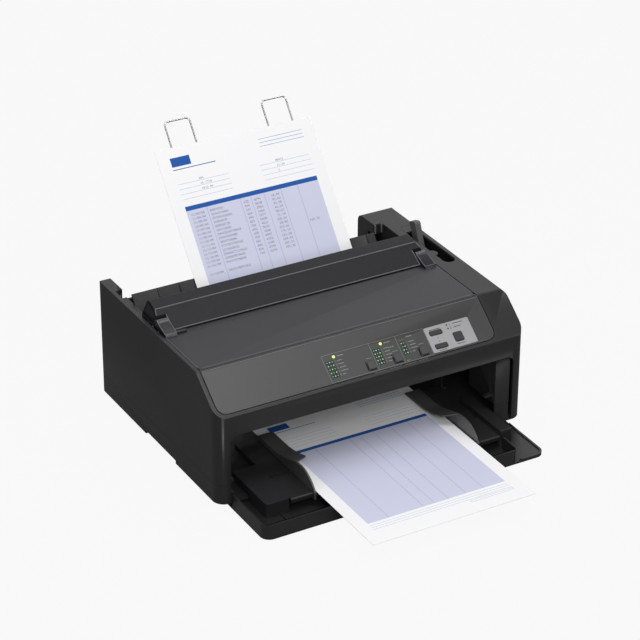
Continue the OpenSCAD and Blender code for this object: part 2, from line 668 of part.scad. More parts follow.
module rear_cover_body() {
    y1 = rear_cover_y;
    z1 = bar_back_z;
    t = cover_t;
    outer = concat([[cover_split_y, bar_z], [crest_y, crest_z]], arc(y1 - 4, z1 - 4, 4, 95, 0, 6),
        [[y1 + 1, rear_pin_z + 3]]);
    inner = [[y1 + 1 - t, rear_pin_z + 2], [y1 - t - 0.4, z1 - t - 0.6], [crest_y + 0.6, crest_z - t - 0.3],
        [cover_split_y + t / sin(bar_a), bar_z - 0.01]];
    difference() {
        union() {
            along_x(cover_left, bar_right) polygon(concat(outer, inner));
            // ends of the bar and the cheeks beside the arms
            for (x = [cover_left, bar_right - t, cheek_x[0], cheek_x[1] - t])
                along_x(x, x + t) polygon(concat(outer, [[y1 - 6, bar_z], [cover_split_y, bar_z]]));
            // ears that the pins sit in
            for (x = [cover_left, bar_right - t]) difference() {
                rod_x(x, x + t, rear_pin_y, rear_pin_z, 5);
                rod_x(x - 1, x + t + 1, rear_pin_y, rear_pin_z, hinge_pin_r + 0.02);
            }
            for (x = [cover_left, bar_right - t]) along_x(x, x + t) polygon([[rear_pin_y - 4, rear_pin_z + 3],
                [y1 - 0.5, rear_pin_z + 3], [y1 - 0.5, bar_z + 2], [rear_pin_y - 4, bar_z + 2]]);
        }
        // room for the arms at both ends
        block([cover_left - 1, 0, 0], [cheek_x[0], pin_y + barrel_r + 1.5, crest_z + 5]);
        block([cheek_x[1], 0, 0], [bar_right + 1, pin_y + barrel_r + 1.5, crest_z + 5]);
    }
    // pins that the printer cover's arms turn on, and the walls behind the arms
    rod_x(arm_x0[0] + 0.5, cheek_x[0] + 0.5, pin_y, pin_z, hinge_pin_r);
    rod_x(cheek_x[1] - 0.5, arm_x0[1] + arm_w - 0.5, pin_y, pin_z, hinge_pin_r);
    for (x = [[cover_left + 0.2, cheek_x[0] + 0.2], [cheek_x[1] - 0.2, bar_right - 0.2]])
        along_x(x[0], x[1]) polygon([[pin_y + barrel_r + 1.5, bar_z + 0.2], [pin_y + barrel_r + 4, bar_z + 0.2],
            [pin_y + barrel_r + 4, pin_z + 7], [pin_y + barrel_r + 1.5, pin_z + 6.5]]);
    // ribs inside the bar
    for (x = [-140:45:120]) along_x(x, x + 2) polygon([[cover_split_y + 8, bar_z + 1.5], [crest_y + 1, crest_z - t],
        [y1 - t, z1 - t - 1], [y1 - t + 0.5, bar_z + 6], [crest_y - 4, bar_z + 6]]);
}

module rear_cover_pins() color("#9a9a9c") {
    rod_x(inner_left - 2.5, cover_left + cover_t + 1.5, rear_pin_y, rear_pin_z, hinge_pin_r);
    rod_x(bar_right - cover_t - 1.5, inner_right + wall - 0.5, rear_pin_y, rear_pin_z, hinge_pin_r);
}

// ---------- rear paper path ----------

guide_x0 = frame_left + 0.5;
guide_x1 = frame_right - 1;
rib_n = sheet_t + 0.4;
plate_n = rib_n + 1.5;
guide_t = 2.5;
lug_w = 5;
wire_inner = [sheet_x - 49.5, sheet_x + 50.5];

// One support's legs: outer and inner place along the width
function wire_legs(side) = side < 0 ? [wire_inner[0] - wire_span, wire_inner[0]] : [wire_inner[1], wire_inner[1] + wire_span];

module paper_guide() color("#303032") {
    // ears and pins that it tilts on
    for (x = [[guide_x0, guide_x0 + 4, frame_left - frame_t - 0.5], [guide_x1 - 4, guide_x1, frame_right + frame_t + 0.5]]) {
        rod_x(x[0], x[1], guide_hinge_y, guide_hinge_z, 4.5);
        rod_x(min(x), max(x), guide_hinge_y, guide_hinge_z, hinge_pin_r);
    }
    on_sheet() {
        difference() {
            union() {
                block([guide_x0, guide_s0, -plate_n - guide_t], [guide_x1, guide_s1, -plate_n]);
                block([frame_left - 2, (frame_top + 4 - touch_z) / sin(sheet_a), -plate_n - guide_t],
                    [guide_x0 + 1, guide_s1, -plate_n]);
            }
            for (side = [-1, 1], x = wire_legs(side))
                block([x - wire_r - 1, wire_s - 4, -plate_n - guide_t - 1], [x + wire_r + 1, guide_s1 + 1, 1]);
            // ends of the wires lie in these pockets
            for (side = [-1, 1], i = [0, 1]) wire_pocket(wire_legs(side)[i], 1 - 2 * i);
        }
        // ribs that the sheet slides on
        for (x = [guide_x0 + 31.5:29:guide_x1 - 9]) if (min([for (side = [-1, 1], w = wire_legs(side)) abs(w - x)]) > 8)
            block([x - 1, guide_s0 + 2, -plate_n - 0.1], [x + 1, guide_s1 - 1, -rib_n]);
        // stiffening edges under the plate
        for (s = [guide_s0 + 8, guide_s1 - 16])
            block([guide_x0 + 4, s, -plate_n - guide_t - 4], [guide_x1 - 4, s + 2, -plate_n - guide_t + 0.1]);
        // lugs that hold the wires' bent ends
        for (side = [-1, 1], i = [0, 1]) wire_lug(wire_legs(side)[i], 1 - 2 * i);
    }
}

// Which way the bent end points: towards the support's middle
module wire_pocket(x, dir) translate([dir > 0 ? x : x - lug_w - 3, wire_s - wire_r - 1, -plate_n - guide_t - 1])
    cube([lug_w + 3, 2 * wire_r + 2, guide_t + 3]);

module wire_lug(x, dir) {
    a = dir > 0 ? x + wire_r + 1.2 : x - wire_r - 1.2 - lug_w;
    difference() {
        block([a, wire_s - 4, -plate_n - guide_t - 2], [a + lug_w, wire_s + 4, -plate_n + 0.6]);
        rod_x(a - 1, a + lug_w + 1, wire_s, -wire_n, wire_r + run);
    }
}

// A bent wire: two legs joined at the top, their lower ends turned inwards
module wire_support(side) {
    legs = wire_legs(side);
    bend = 5;
    translate([0, wire_y, wire_z]) rotate([wire_a, 0, 0]) {
        for (i = [0, 1]) {
            rod_y(legs[i], 0, wire_l - bend, 0, wire_r);
            translate([legs[i], 0, 0]) sphere(wire_r);
            rod_x(i == 0 ? legs[i] : legs[i] - lug_w - 2, i == 0 ? legs[i] + lug_w + 2 : legs[i], 0, 0, wire_r);
        }
        rod_x(legs[0] + bend, legs[1] - bend, wire_l, 0, wire_r);
        for (i = [0, 1]) translate([legs[i] + (i == 0 ? bend : -bend), wire_l - bend, 0])
            rotate([0, 0, i == 0 ? 90 : 0]) rotate_extrude(angle = 90) translate([bend, 0]) circle(wire_r);
    }
}

module wire_support_left() color("#a8a8aa") wire_support(-1);
module wire_support_right() color("#a8a8aa") wire_support(1);

module release_lever() color("#404042") {
    rod_x(frame_right - 8, lever_x + 7, lever_y, lever_z, lever_shaft_r);
    rod_x(frame_right - 7, frame_right - 1, lever_y, lever_z, 6);
    rod_x(inner_right + wall + 1, lever_x + 7.5, lever_y, lever_z, 5.5);
    translate([0, lever_y, lever_z]) rotate([-lever_lean, 0, 0]) {
        // blade with its wider finger rest
        along_x(lever_x - 0.5, lever_x + 7.3) polygon(concat([[-3.6, 1]], arc(-4, 69, 4, 200, 100, 5),
            arc(2.6, 70.5, 3.4, 80, -10, 5), [[3.6, 1]]));
        // cam that lifts the pressure rollers
        block([frame_right - 6.6, -3, -11], [frame_right - 1.4, 3, -4]);
    }
}

lever_lean = 25.7;

module thickness_lever() color("#3b6ea5") {
    x = frame_right - 7;
    rod_x(x, frame_right - 0.5, gap_y, gap_z, 4);
    rod_x(frame_right - 1, frame_right + frame_t + 1, gap_y, gap_z, 2);
    translate([0, gap_y, gap_z]) rotate([20, 0, 0]) {
        block([x, -2, 2], [x + 4, 2, 24]);
        rod_x(x - 2, x + 6, 0, 24, 4);
    }
}

gap_y = guide_shaft_y - 14;
gap_z = guide_shaft_z + 34;

// ---------- print mechanism ----------

frame_top = platen_z + 48;

module platen() color("#18181a") difference() {
    rod_x(platen_left, platen_right, platen_y, platen_z, platen_r);
    rod_x(platen_left - 1, platen_right + 1, platen_y, platen_z, platen_shaft_r + 0.02);
}

module platen_shaft() color("#b4b4b6") {
    rod_x(frame_left - frame_t - 1.5, knob_x + knob_l - 2, platen_y, platen_z, platen_shaft_r);
    rod_x(frame_left + 0.5, frame_left + 4, platen_y, platen_z, 7);
    rod_x(platen_right + 2, platen_right + 5, platen_y, platen_z, 7);
}

module platen_knob() color("#242426") translate([knob_x, platen_y, platen_z]) rotate([90, 0, 90]) difference() {
    union() {
        cylinder(h = 3, r = knob_r);
        translate([0, 0, 3]) cylinder(h = knob_l - 5, r = knob_r - 0.8);
        translate([0, 0, knob_l - 2]) cylinder(h = 2, r1 = knob_r - 0.8, r2 = knob_r - 2.8);
    }
    // grip flutes round the rim, the bore and the dished end
    for (i = [0:23]) rotate([0, 0, i * 15]) translate([knob_r + 0.5, 0, 3.2]) cylinder(h = knob_l, r = 2.4);
    translate([0, 0, -1]) cylinder(h = knob_l - 1 + 0.02, r = platen_shaft_r + 0.02);
    translate([0, 0, knob_l - 1]) cylinder(h = 2, r = knob_r - 6);
}

// Gears: each one's turn puts a tooth of one into a gap of the other along the line between their centres
idler_turn = 180 + idler_a + (idler_a * platen_teeth / idler_teeth) + 180 / idler_teeth;
pinion_turn = 180 + pinion_a + (pinion_a - idler_turn) * idler_teeth / pinion_teeth + 180 / pinion_teeth;
transfer_turn = 180 + transfer_a + (transfer_a * platen_teeth / tractor_teeth) + 180 / tractor_teeth;
tractor_turn = 180 + tractor_a + (tractor_a - transfer_turn) + 180 / tractor_teeth;
stub_r = 3;

module platen_gear() color("#d8d4c8") gear(gear_x, platen_y, platen_z, platen_teeth, 0, platen_shaft_r + 0.02);
module idler_gear() color("#d8d4c8") gear(gear_x, idler_y, idler_z, idler_teeth, idler_turn, stub_r + run);
module motor_pinion() color("#c0a060") gear(gear_x, motor_y, motor_z, pinion_teeth, pinion_turn, 1.52);
module transfer_gear() color("#d8d4c8") gear(gear_x, transfer_y, transfer_z, tractor_teeth, transfer_turn, stub_r + run);
module tractor_gear() color("#d8d4c8") gear(gear_x, tractor_y, tractor_z, tractor_teeth, tractor_turn,
    tractor_shaft_r + 0.02);

tractor_shaft_r = 4;
motor_r = 17.5;

module feed_motor() color("#7c7c80") difference() {
    union() {
        rod_x(frame_right - 38, frame_right - 2, motor_y, motor_z, motor_r);
        rod_x(frame_right - 2.1, frame_right - 0.1, motor_y, motor_z, motor_r + 1);
        rod_x(frame_right - 1, frame_right + frame_t + 1, motor_y, motor_z, 4.5);
        rod_x(frame_right, gear_x + gear_w - 0.5, motor_y, motor_z, 1.5);
    }
    for (a = [0:90:270]) translate([0, motor_y + (motor_r - 1) * cos(a + 45), motor_z + (motor_r - 1) * sin(a + 45)])
        rod_x(frame_right - 3, frame_right + 1, 0, 0, 1.2);
}

module tractor_shaft() color("#b4b4b6") rod_x(frame_left - frame_t - 1.5, gear_x + gear_w + 1, tractor_y, tractor_z,
    tractor_shaft_r);

module tractor_rail() color("#b4b4b6") rod_x(frame_left - frame_t - 1, frame_right + frame_t + 1, tractor_y,
    tractor_rail_z, 3);

// A pin-feed tractor: a plate on the shaft and rail, a toothed belt and a lifting door
module tractor(x, dir) {
    w = 14;
    difference() {
        union() {
            along_x(x - w / 2, x + w / 2) polygon(concat(arc(tractor_y, tractor_z, 13, 200, 90),
                arc(tractor_y + tractor_reach, tractor_z + 1, 12, 90, -70), arc(tractor_y, tractor_rail_z, 7, -60, -180, 5)));
            // the pin belt's pins along the top
            for (i = [0:3]) translate([x + dir * 3, tractor_y + 2 + i * tractor_reach * 0.275, tractor_z + 12.5])
                cylinder(h = 3, r1 = 2, r2 = 1.2);
            // clamping knob
            rod_x(dir > 0 ? x + w / 2 - 0.1 : x - w / 2 - 6, dir > 0 ? x + w / 2 + 6 : x - w / 2 + 0.1,
                tractor_y + tractor_reach * 0.6, tractor_z - 4, 6);
        }
        rod_x(x - w, x + w, tractor_y, tractor_z, tractor_shaft_r + run);
        rod_x(x - w, x + w, tractor_y, tractor_rail_z, 3 + run);
        // slot between the door and the plate on the side of the paper's edge
        block([dir > 0 ? x - 1 : x - w / 2 - 1, tractor_y - 14, tractor_z + 8],
            [dir > 0 ? x + w / 2 + 1 : x + 1, tractor_y + 53, tractor_z + 10]);
    }
}

tractor_x = [sheet_left - 8, sheet_right + 8];
tractor_reach = rear_y - wall - 17 - tractor_y;
module tractor_left() color("#2e2e30") tractor(tractor_x[0], 1);
module tractor_right() color("#2e2e30") tractor(tractor_x[1], -1);

roller_r = 5;
roller_a = -75;
roller_c = wrap_r + sheet_t + roller_r + 0.05;
roller_y = platen_y + roller_c * cos(roller_a);
roller_z = platen_z + roller_c * sin(roller_a);
roller_shaft_r = 2.5;
roller_x = [sheet_x - 65, sheet_x, sheet_x + 65];

// Side frame outline with the holes of everything that runs in it
module frame_plate(x) difference() {
    along_x(x, x + frame_t) difference() {
        polygon(concat([[rail_y - 8, frame_foot_z + 0.1], [rail_y - 8, rail_z + 10]],
            arc(guide_shaft_y - 6, gap_z, 10, 180, 90, 6), arc(platen_y - 30, frame_top - 12, 12, 90, 60, 3),
            arc(platen_y + 44, frame_top - 12, 12, 90, 0, 6), [[tractor_y + 12, tractor_z + 12]],
            [[tractor_y + 12, frame_foot_z + 0.1], [tractor_y - 14, frame_foot_z + 0.1],
                [tractor_y - 18, frame_foot_z + 12], [rail_y + 14, frame_foot_z + 12],
                [rail_y + 10, frame_foot_z + 0.1]]));
        translate([platen_y - 40, 0]) rounded([0, frame_foot_z + 22], [32, platen_z - 36], 5);
    }
    rod_x(x - 1, x + frame_t + 1, platen_y, platen_z, platen_shaft_r + run);
    rod_x(x - 1, x + frame_t + 1, tractor_y, tractor_z, tractor_shaft_r + run);
    rod_x(x - 1, x + frame_t + 1, tractor_y, tractor_rail_z, 3.02);
    rod_x(x - 1, x + frame_t + 1, guide_shaft_y, guide_shaft_z, guide_shaft_r + 0.02);
    rod_x(x - 1, x + frame_t + 1, roller_y, roller_z, roller_shaft_r + run);
    rod_x(x - 1, x + frame_t + 1, guide_hinge_y, guide_hinge_z, hinge_pin_r + run);
    translate([x - 1, rail_y - 4.1, rail_z - 3.1]) cube([frame_t + 2, 8.2, 6.2]);
}

module side_frame_left() color("#8a8c8e") {
    frame_plate(frame_left - frame_t);
    // shelf that carries the carriage motor
    difference() {
        block([frame_left - 0.2, belt_y - 15, belt_z - 6], [belt_left + 15, belt_y + 15, belt_z - 4.5]);
        translate([belt_left, belt_y, belt_z - 8]) cylinder(h = 6, r = 5);
    }
}

module side_frame_right() color("#8a8c8e") {
    difference() {
        frame_plate(frame_right);
        rod_x(frame_right - 1, frame_right + 3, motor_y, motor_z, 4.6);
        rod_x(frame_right - 1, frame_right + 3, lever_y, lever_z, lever_shaft_r + run);
        rod_x(frame_right - 1, frame_right + 3, gap_y, gap_z, 2 + run);
    }
    // stub axles of the two gears between
    for (p = [[idler_y, idler_z], [transfer_y, transfer_z]]) {
        rod_x(frame_right + 0.5, gear_x + gear_w + 0.5, p[0], p[1], stub_r);
        rod_x(frame_right + 0.5, gear_x - 0.2, p[0], p[1], stub_r + 2);
    }
    // shelf and axle of the belt's far pulley
    block([belt_right - 8, belt_y - 7, belt_z - 6], [frame_right + 0.2, belt_y + 7, belt_z - 4.5]);
    translate([belt_right, belt_y, belt_z - 5]) cylinder(h = belt_h + 6, r = 1.5);
}

module guide_shaft() color("#c4c4c6") rod_x(frame_left - frame_t - 1, frame_right + frame_t + 1, guide_shaft_y,
    guide_shaft_z, guide_shaft_r);

module front_rail() color("#8a8c8e") along_x(frame_left - frame_t - 1, frame_right + frame_t + 1)
    polygon([[rail_y - 4, rail_z - 3], [rail_y + 4, rail_z - 3], [rail_y + 4, rail_z + 3], [rail_y + 2.5, rail_z + 3],
        [rail_y + 2.5, rail_z - 1.5], [rail_y - 2.5, rail_z - 1.5], [rail_y - 2.5, rail_z + 3], [rail_y - 4, rail_z + 3]]);

module carriage() color("#2a2a2c") {
    x0 = carriage_rest - carriage_w / 2;
    x1 = carriage_rest + carriage_w / 2;
    y0 = guide_shaft_y;
    z0 = guide_shaft_z;
    difference() {
        union() {
            along_x(x0, x1) polygon(concat([[y0 - 12, z0 + 10]], arc(y0, z0, 11, 180, 290, 8),
                [[y0 + 28, z0 - 8], [y0 + 32, z0 - 2], [y0 + 32, z0 + 10]]));
            // cheeks beside the head
            for (x = [x0, x1 - 3]) along_x(x, x + 3) polygon([[y0 - 10, z0 + 9], [y0 + 32, z0 + 9],
                [y0 + 28, z0 + 24], [y0 - 6, z0 + 24]]);
            // foot that rides on the front rail
            block([x0 + 12, rail_y - 6, rail_z + 3.1], [x1 - 12, y0 - 8, z0 + 4]);
            // jaws round the belt
            for (y = [belt_y + pulley_r - 2.4, belt_y + pulley_r + belt_t + 0.4])
                block([carriage_rest - 6, y, belt_z - belt_h / 2 - 0.5], [carriage_rest + 6, y + 2, z0 - 9]);
        }
        rod_x(x0 - 1, x1 + 1, y0, z0, guide_shaft_r + run);
    }
}

head_y0 = guide_shaft_y - 6;
head_y1 = guide_shaft_y + 28;

module print_head() color("#6e6e72") {
    z0 = guide_shaft_z + 10.2;
    x = carriage_rest;
    block([x - 20, head_y0, z0], [x + 20, head_y1, z0 + 5]);
    rod_y(x, head_y0, head_y1, z0 + 15, 12);
    // cooling fins
    for (i = [0:6]) translate([x, head_y0 + 1 + i * 4.8, z0 + 15]) rotate([-90, 0, 0]) cylinder(h = 1.6, r = 14.5);
    // nose that holds the wires' tips
    along_x(x - 6, x + 6) polygon([[head_y1 - 0.5, z0 - 0.1], [nose_y - 3, z0 - 1], [nose_y, z0 - 1], [nose_y, z0 + 6],
        [nose_y - 3, z0 + 6], [head_y1 - 0.5, z0 + 16]]);
}

module drive_belt() color("#1c1c1c") translate([0, 0, belt_z - belt_h / 2]) linear_extrude(belt_h) difference() {
    union() {
        for (x = [belt_left, belt_right]) translate([x, belt_y]) circle(pulley_r + 0.1 + belt_t);
        translate([belt_left, belt_y - pulley_r - 0.1 - belt_t])
            square([belt_right - belt_left, 2 * (pulley_r + 0.1 + belt_t)]);
    }
    for (x = [belt_left, belt_right]) translate([x, belt_y]) circle(pulley_r + 0.1);
    translate([belt_left, belt_y - pulley_r - 0.1]) square([belt_right - belt_left, 2 * (pulley_r + 0.1)]);
}

module pulley(x, bore) translate([x, belt_y, belt_z - belt_h / 2 - 1]) difference() {
    union() {
        cylinder(h = belt_h + 2, r = pulley_r);
        for (z = [-0.2, belt_h + 1.2]) translate([0, 0, z]) cylinder(h = 1, r = pulley_r + 1.8);
    }
    translate([0, 0, -2]) cylinder(h = belt_h + 6, r = bore);
}

module drive_pulley() color("#c0a060") pulley(belt_left, 2.02);
module idler_pulley() color("#d8d4c8") pulley(belt_right, 1.5 + run);

module carriage_motor() color("#7c7c80") translate([belt_left, belt_y, 0]) {
    translate([0, 0, floor_z + 8]) cylinder(h = belt_z - 6.1 - floor_z - 8, r = 14);
    translate([0, 0, belt_z - 7]) cylinder(h = 2.4, r = 4.8);
    translate([0, 0, belt_z - 7]) cylinder(h = belt_h + 8, r = 2);
}

module ribbon_cartridge() color("#232325") {
    z1 = cartridge_z + cartridge_h;
    difference() {
        translate([0, 0, cartridge_z]) linear_extrude(cartridge_h)
            rounded([cartridge_left, cartridge_y0], [cartridge_right, cartridge_y1], 6);
        // shallow panel in the lid and the hub of the ribbon knob
        translate([0, 0, z1 - 0.8]) linear_extrude(2)
            rounded([cartridge_left + 30, cartridge_y0 + 6], [cartridge_right - 60, cartridge_y1 - 6], 4);
        translate([knob_at.x, knob_at.y, z1 - 4]) cylinder(h = 6, r = 2.5 + run);
    }
    // arms that carry the ribbon past the platen
    for (x = [cartridge_left, cartridge_right - 16]) along_x(x, x + 16) polygon([
        [cartridge_y1 - 3, cartridge_z + 0.5], [cartridge_y1 - 3, z1 - 0.5], [ribbon_y - 14, z1 - 2],
        [ribbon_y - 2, cartridge_z - 6], [ribbon_y + 1.5, cartridge_z - 24], [ribbon_y + 1.5, cartridge_z - 35],
        [ribbon_y - 5, cartridge_z - 35], [ribbon_y - 14, cartridge_z - 6]]);
}

knob_at = [cartridge_right - 34, (cartridge_y0 + cartridge_y1) / 2];

module ribbon() color("#141416") block([cartridge_left + 15.9, ribbon_y - 0.15, platen_z - 6],
    [cartridge_right - 15.9, ribbon_y + 0.15, platen_z + 6]);

module ribbon_knob() color("#3c3c40") translate([knob_at.x, knob_at.y, cartridge_z + cartridge_h]) {
    translate([0, 0, -3.8]) cylinder(h = 4, r = 2.5);
    translate([0, 0, 0.1]) difference() {
        cylinder(h = 4.5, r = 7);
        for (i = [0:11]) rotate([0, 0, i * 30]) translate([7.6, 0, -1]) cylinder(h = 7, r = 1.2);
    }
}

module pressure_rollers() color("#2a2a2c") {
    rod_x(frame_left - frame_t - 1, frame_right + frame_t + 1, roller_y, roller_z, roller_shaft_r);
    for (x = roller_x) rod_x(x - 10, x + 10, roller_y, roller_z, roller_r);
}

module paper_pan() color("#55575a") {
    r0 = wrap_r + sheet_t + 1;
    difference() {
        along_x(frame_left + 0.2, frame_right - 0.2) polygon(concat(
            arc(platen_y, platen_z, r0, -22, -150, 24), arc(platen_y, platen_z, r0 + 1, -150, -22, 24)));
        for (x = roller_x) block([x - 11.5, roller_y - 7, roller_z - 8], [x + 11.5, roller_y + 7, platen_z]);
    }
    for (x = [frame_left + 0.2, frame_right - 3.2]) along_x(x, x + 3) polygon([[platen_y - 16, platen_z - 20],
        [platen_y - 8, platen_z - 14], [platen_y - 2, platen_z - 15.3], [platen_y - 3, platen_z - 26],
        [platen_y - 14, platen_z - 26]]);
}

// ---------- electrics in the floor ----------

module circuit_board() color("#2f6040") difference() {
    union() {
        block([board_x0, board_y0, board_z + 0.1], [board_x1, board_y1, board_z + 1.7]);
        // chips, capacitors and a socket on the board
        for (i = [0:3]) block([board_x0 + 102 + i * (chip_w + 10), board_y0 + 12.6, board_z + 1.6],
            [board_x0 + 102 + i * (chip_w + 10) + chip_w, board_y0 + 22.6, board_z + 5]);
        for (i = [0:2]) translate([board_x0 + 112 + i * 22, board_y1 - 35.5, board_z + 1.6]) cylinder(h = 16, r = can_r);
        block([board_x1 - 38, board_y0 + 26.6, board_z + 1.6], [board_x1 - 30, board_y1 - 29.5, board_z + 9]);
    }
    for (p = board_posts) translate([p.x, p.y, board_z - 1]) cylinder(h = 4, r = 1.6);
}

module power_supply() color("#9c9ea0") difference() {
    block([supply_x0, supply_y1 - supply_l, board_z + 1.8], [supply_x0 + supply_w, supply_y1, board_z + 2 + supply_h]);
    for (i = [0:5]) block([supply_x0 + 6 + i * 8, supply_y1 - supply_l + 6, board_z + supply_h + 0.5],
        [supply_x0 + 9 + i * 8, supply_y1 - 6, board_z + supply_h + 3]);
}

module rear_ports() color("#b8b8ba") {
    for (p = [rear_openings[1], rear_openings[2]]) {
        h = p == rear_openings[1] ? 14 : 12;
        block([p[0] + 0.5, rear_y - 22, board_z + 1.8], [p[2] - 0.5, rear_y - wall - 0.3, board_z + 1.8 + h]);
        block([p[0] + 0.5, rear_y - 8, port_sill + 0.2], [p[2] - 0.5, rear_y - 1, board_z + 1.8 + h]);
    }
    difference() {
        p = rear_openings[1];
        block([p[0] + 4, rear_y - 2, board_z + 4], [p[2] - 4, rear_y + 0.5, board_z + 13]);
        block([p[0] + 6, rear_y - 1, board_z + 5.5], [p[2] - 6, rear_y + 1, board_z + 11.5]);
    }
}

module power_inlet() color("#1e1e20") difference() {
    p = rear_openings[0];
    z = port_sill + 0.2;
    block([p[0] + 0.3, rear_y - 26, z], [p[2] - 0.3, rear_y - 0.5, z + port_h - 0.4]);
    block([p[0] + 3, rear_y - 14, z + 2.5], [p[2] - 3, rear_y + 1, z + port_h - 3]);
}

// ---------- front paper path ----------

table_left = sheet_left - 32.5;
table_right = sheet_right + 34.5;
table_y0 = -table_reach;
table_y1 = rail_y - 7;
groove_y = 10;
groove_w = 6;
groove_d = 3;
tray_left = mouth_left + 0.5;
tray_right = mouth_right + 20;
tray_z = 0.8;
tray_t = 2.7;
tray_inner_r = 3.5;

// Outline of a table block from above, its front corners rounded
module block_outline(x, y1) {
    rounded([x[0], table_y0 + 1], [x[1], y1], 5);
    block2([x[0], y1 - 12], [x[1], y1]);
}

// A flat rectangle given by its two corners
module block2(a, b) translate(a) square(b - a);

module front_tray() color("#2c2c2e") {
    y0 = -tray_reach;
    xr = tray_right - tray_flange;
    translate([0, 0, tray_z]) linear_extrude(tray_t) {
        rounded([tray_left, y0], [tray_right, 10], 12);
        translate([tray_left, -10]) square([tray_right - tray_left, 20]);
    }
    // walls: front, left, and the right one beside the low flange
    difference() {
        translate([0, 0, tray_z]) linear_extrude(tray_wall_z - tray_z) difference() {
            rounded([tray_left, y0], [xr + 2.5, 20], 12);
            rounded([tray_left + 2.5, y0 + 2.5], [xr, 22], tray_inner_r);
        }
        block([tray_left - 1, -2, tray_z + tray_t], [xr + 4, 22, 30]);
        block([tray_left - 1, 10, 0], [xr + 4, 22, 30]);
        block([xr - 1, table_y0 - 4, tray_z + tray_t], [xr + 4, 22, 30]);
    }
    // rim of the flange and the ribs of the floor
    difference() {
        translate([0, 0, tray_z]) linear_extrude(tray_t + 1.5) difference() {
            rounded([xr, y0], [tray_right, 10], 12);
            rounded([xr - 8, y0 + 2.5], [tray_right - 2.5, 22], 9.5);
        }
        block([xr - 1, -2, tray_z + tray_t], [tray_right + 1, 22, 30]);
    }
    for (x = [tray_left + 40:50:xr - 40]) block([x, y0 + 6, tray_z + tray_t - 0.1], [x + 1.5, table_y0 + 30, tray_z + tray_t + 2]);
    // seats under the case
    for (x = [tray_left + 40, tray_right - 58]) block([x, 2, tray_z + tray_t - 0.1], [x + 14, 9, foot_h - 0.1]);
}

module sheet_table() color("#48484a") difference() {
    union() {
        along_x(table_left, table_right) polygon(concat([[table_y1, table_z - table_t], [table_y1, table_z]],
            arc(table_y0 + 2, table_z - 2, 2, 90, 180, 4), arc(table_y0 + 1.5, table_z - table_t + 1.5, 1.5, 180, 270, 4)));
        // thick blocks at both ends, standing on the tray in front and carried on the ribs behind
        for (x = [[table_left - left_block, table_left + 0.1], [table_right - 0.1, table_right + right_block]]) {
            difference() {
                translate([0, 0, tray_z + tray_t + 0.1]) linear_extrude(table_z + 1.5 - tray_z - tray_t - 0.1)
                    block_outline(x, -1);
                block([x[0] + 3, table_y0 + 4, 0], [x[1] - 3, 1, table_z - 2]);
            }
            block([x[0], -1.1, table_z - table_t], [x[1], 40, table_z + 1.5]);
        }
    }
    // groove that the edge guides' tongues run in
    block([table_left - 0.01, groove_y - groove_w / 2, table_z - groove_d], [table_right + 0.01, groove_y + groove_w / 2,
        table_z + 1]);
    // hollows underneath
    for (x = [table_left + 16:30:table_right - 17]) block([x, table_y0 + 6, 0], [x + 27, groove_y - groove_w / 2 - 3,
        table_z - 2.5]);
}

// A sheet-edge guide: an upright wall with a rounded front, and a leaf over the sheet that rises towards
// the front. dir +1 points the leaf to the right
module edge_guide(x, dir) {
    w = 2;
    z0 = table_z + 0.2;
    hook = 0.4;
    toe = table_y0 - hook - 1.8;
    run_up = [[-1, 0.96], [10, 0.78], [23, 0.57], [36, 0.4], [50, 0.3], [64, 0.28], [90, 0.285]];
    leaf = [for (q = run_up) [q.x, z0 + fin_h * q.y]];
    rise = -12 - toe;
    fin_r = (rise * rise + fin_h * fin_h) / (2 * fin_h);
    xa = dir > 0 ? x - w : x;
    along_x(xa, xa + w) polygon(concat(
        arc(-12, z0 + fin_h - fin_r, fin_r, 90 + asin(rise / fin_r), 90, 12), leaf, [[90, z0], [toe, z0]]));
    fa = dir > 0 ? x - w : x - fin_flange + w;
    intersection() {
        along_x(fa, fa + fin_flange) polygon(concat(leaf, [for (i = [6:-1:0]) leaf[i] - [0, 1.6]]));
        // the leaf's front edge runs back from the wall to a rounded corner
        translate([x, 0, z0]) scale([dir, 1, 1]) linear_extrude(fin_h + 1) polygon(concat([[-w - 1, -2]],
            arc(fin_flange - w - 4.5, 11, 4, -60, 0, 5), [[fin_flange - w - 0.2, 91], [-w - 1, 91]]));
    }
    // hook round the table's front edge and tongue in its groove
    along_x(xa, xa + w) polygon([[toe, z0 + 0.1], [toe, z0 - table_t - 2.6], [table_y0 + 6, z0 - table_t - 2.6],
        [table_y0 + 6, z0 - table_t - 0.6], [table_y0 - hook, z0 - table_t - 0.6], [table_y0 - hook, z0 + 0.1]]);
    block([xa, groove_y - groove_w / 2 + 0.2, z0 - groove_d], [xa + w, groove_y + groove_w / 2 - 0.2, z0 + 0.1]);
}

module edge_guide_left() color("#3a3a3c") edge_guide(sheet_left - 1.5, 1);
module edge_guide_right() color("#3a3a3c") edge_guide(sheet_right + 1.5, -1);

module rear_sheet() color("#f0f0f4") along_x(sheet_left, sheet_right) polygon(concat(
    [[touch_y + rear_sheet_l * cos(sheet_a), touch_z + rear_sheet_l * sin(sheet_a)]],
    arc(platen_y, platen_z, wrap_r, sheet_a - 90, sheet_a - 90 - wrap_a, 20),
    arc(platen_y, platen_z, wrap_r + sheet_t, sheet_a - 90 - wrap_a, sheet_a - 90, 20),
    [[touch_y + rear_sheet_l * cos(sheet_a) + sheet_t * sin(sheet_a),
        touch_z + rear_sheet_l * sin(sheet_a) - sheet_t * cos(sheet_a)]]));

module front_sheet() color("#f0f0f4") block([sheet_left, -front_reach, table_z + 0.3],
    [sheet_right, sheet_l - front_reach, table_z + 0.3 + sheet_t]);

// ---------- placing ----------

// Moves the printer so that the middle of its own plan is the origin
module place() translate([shift_x, shift_y, 0]) children();

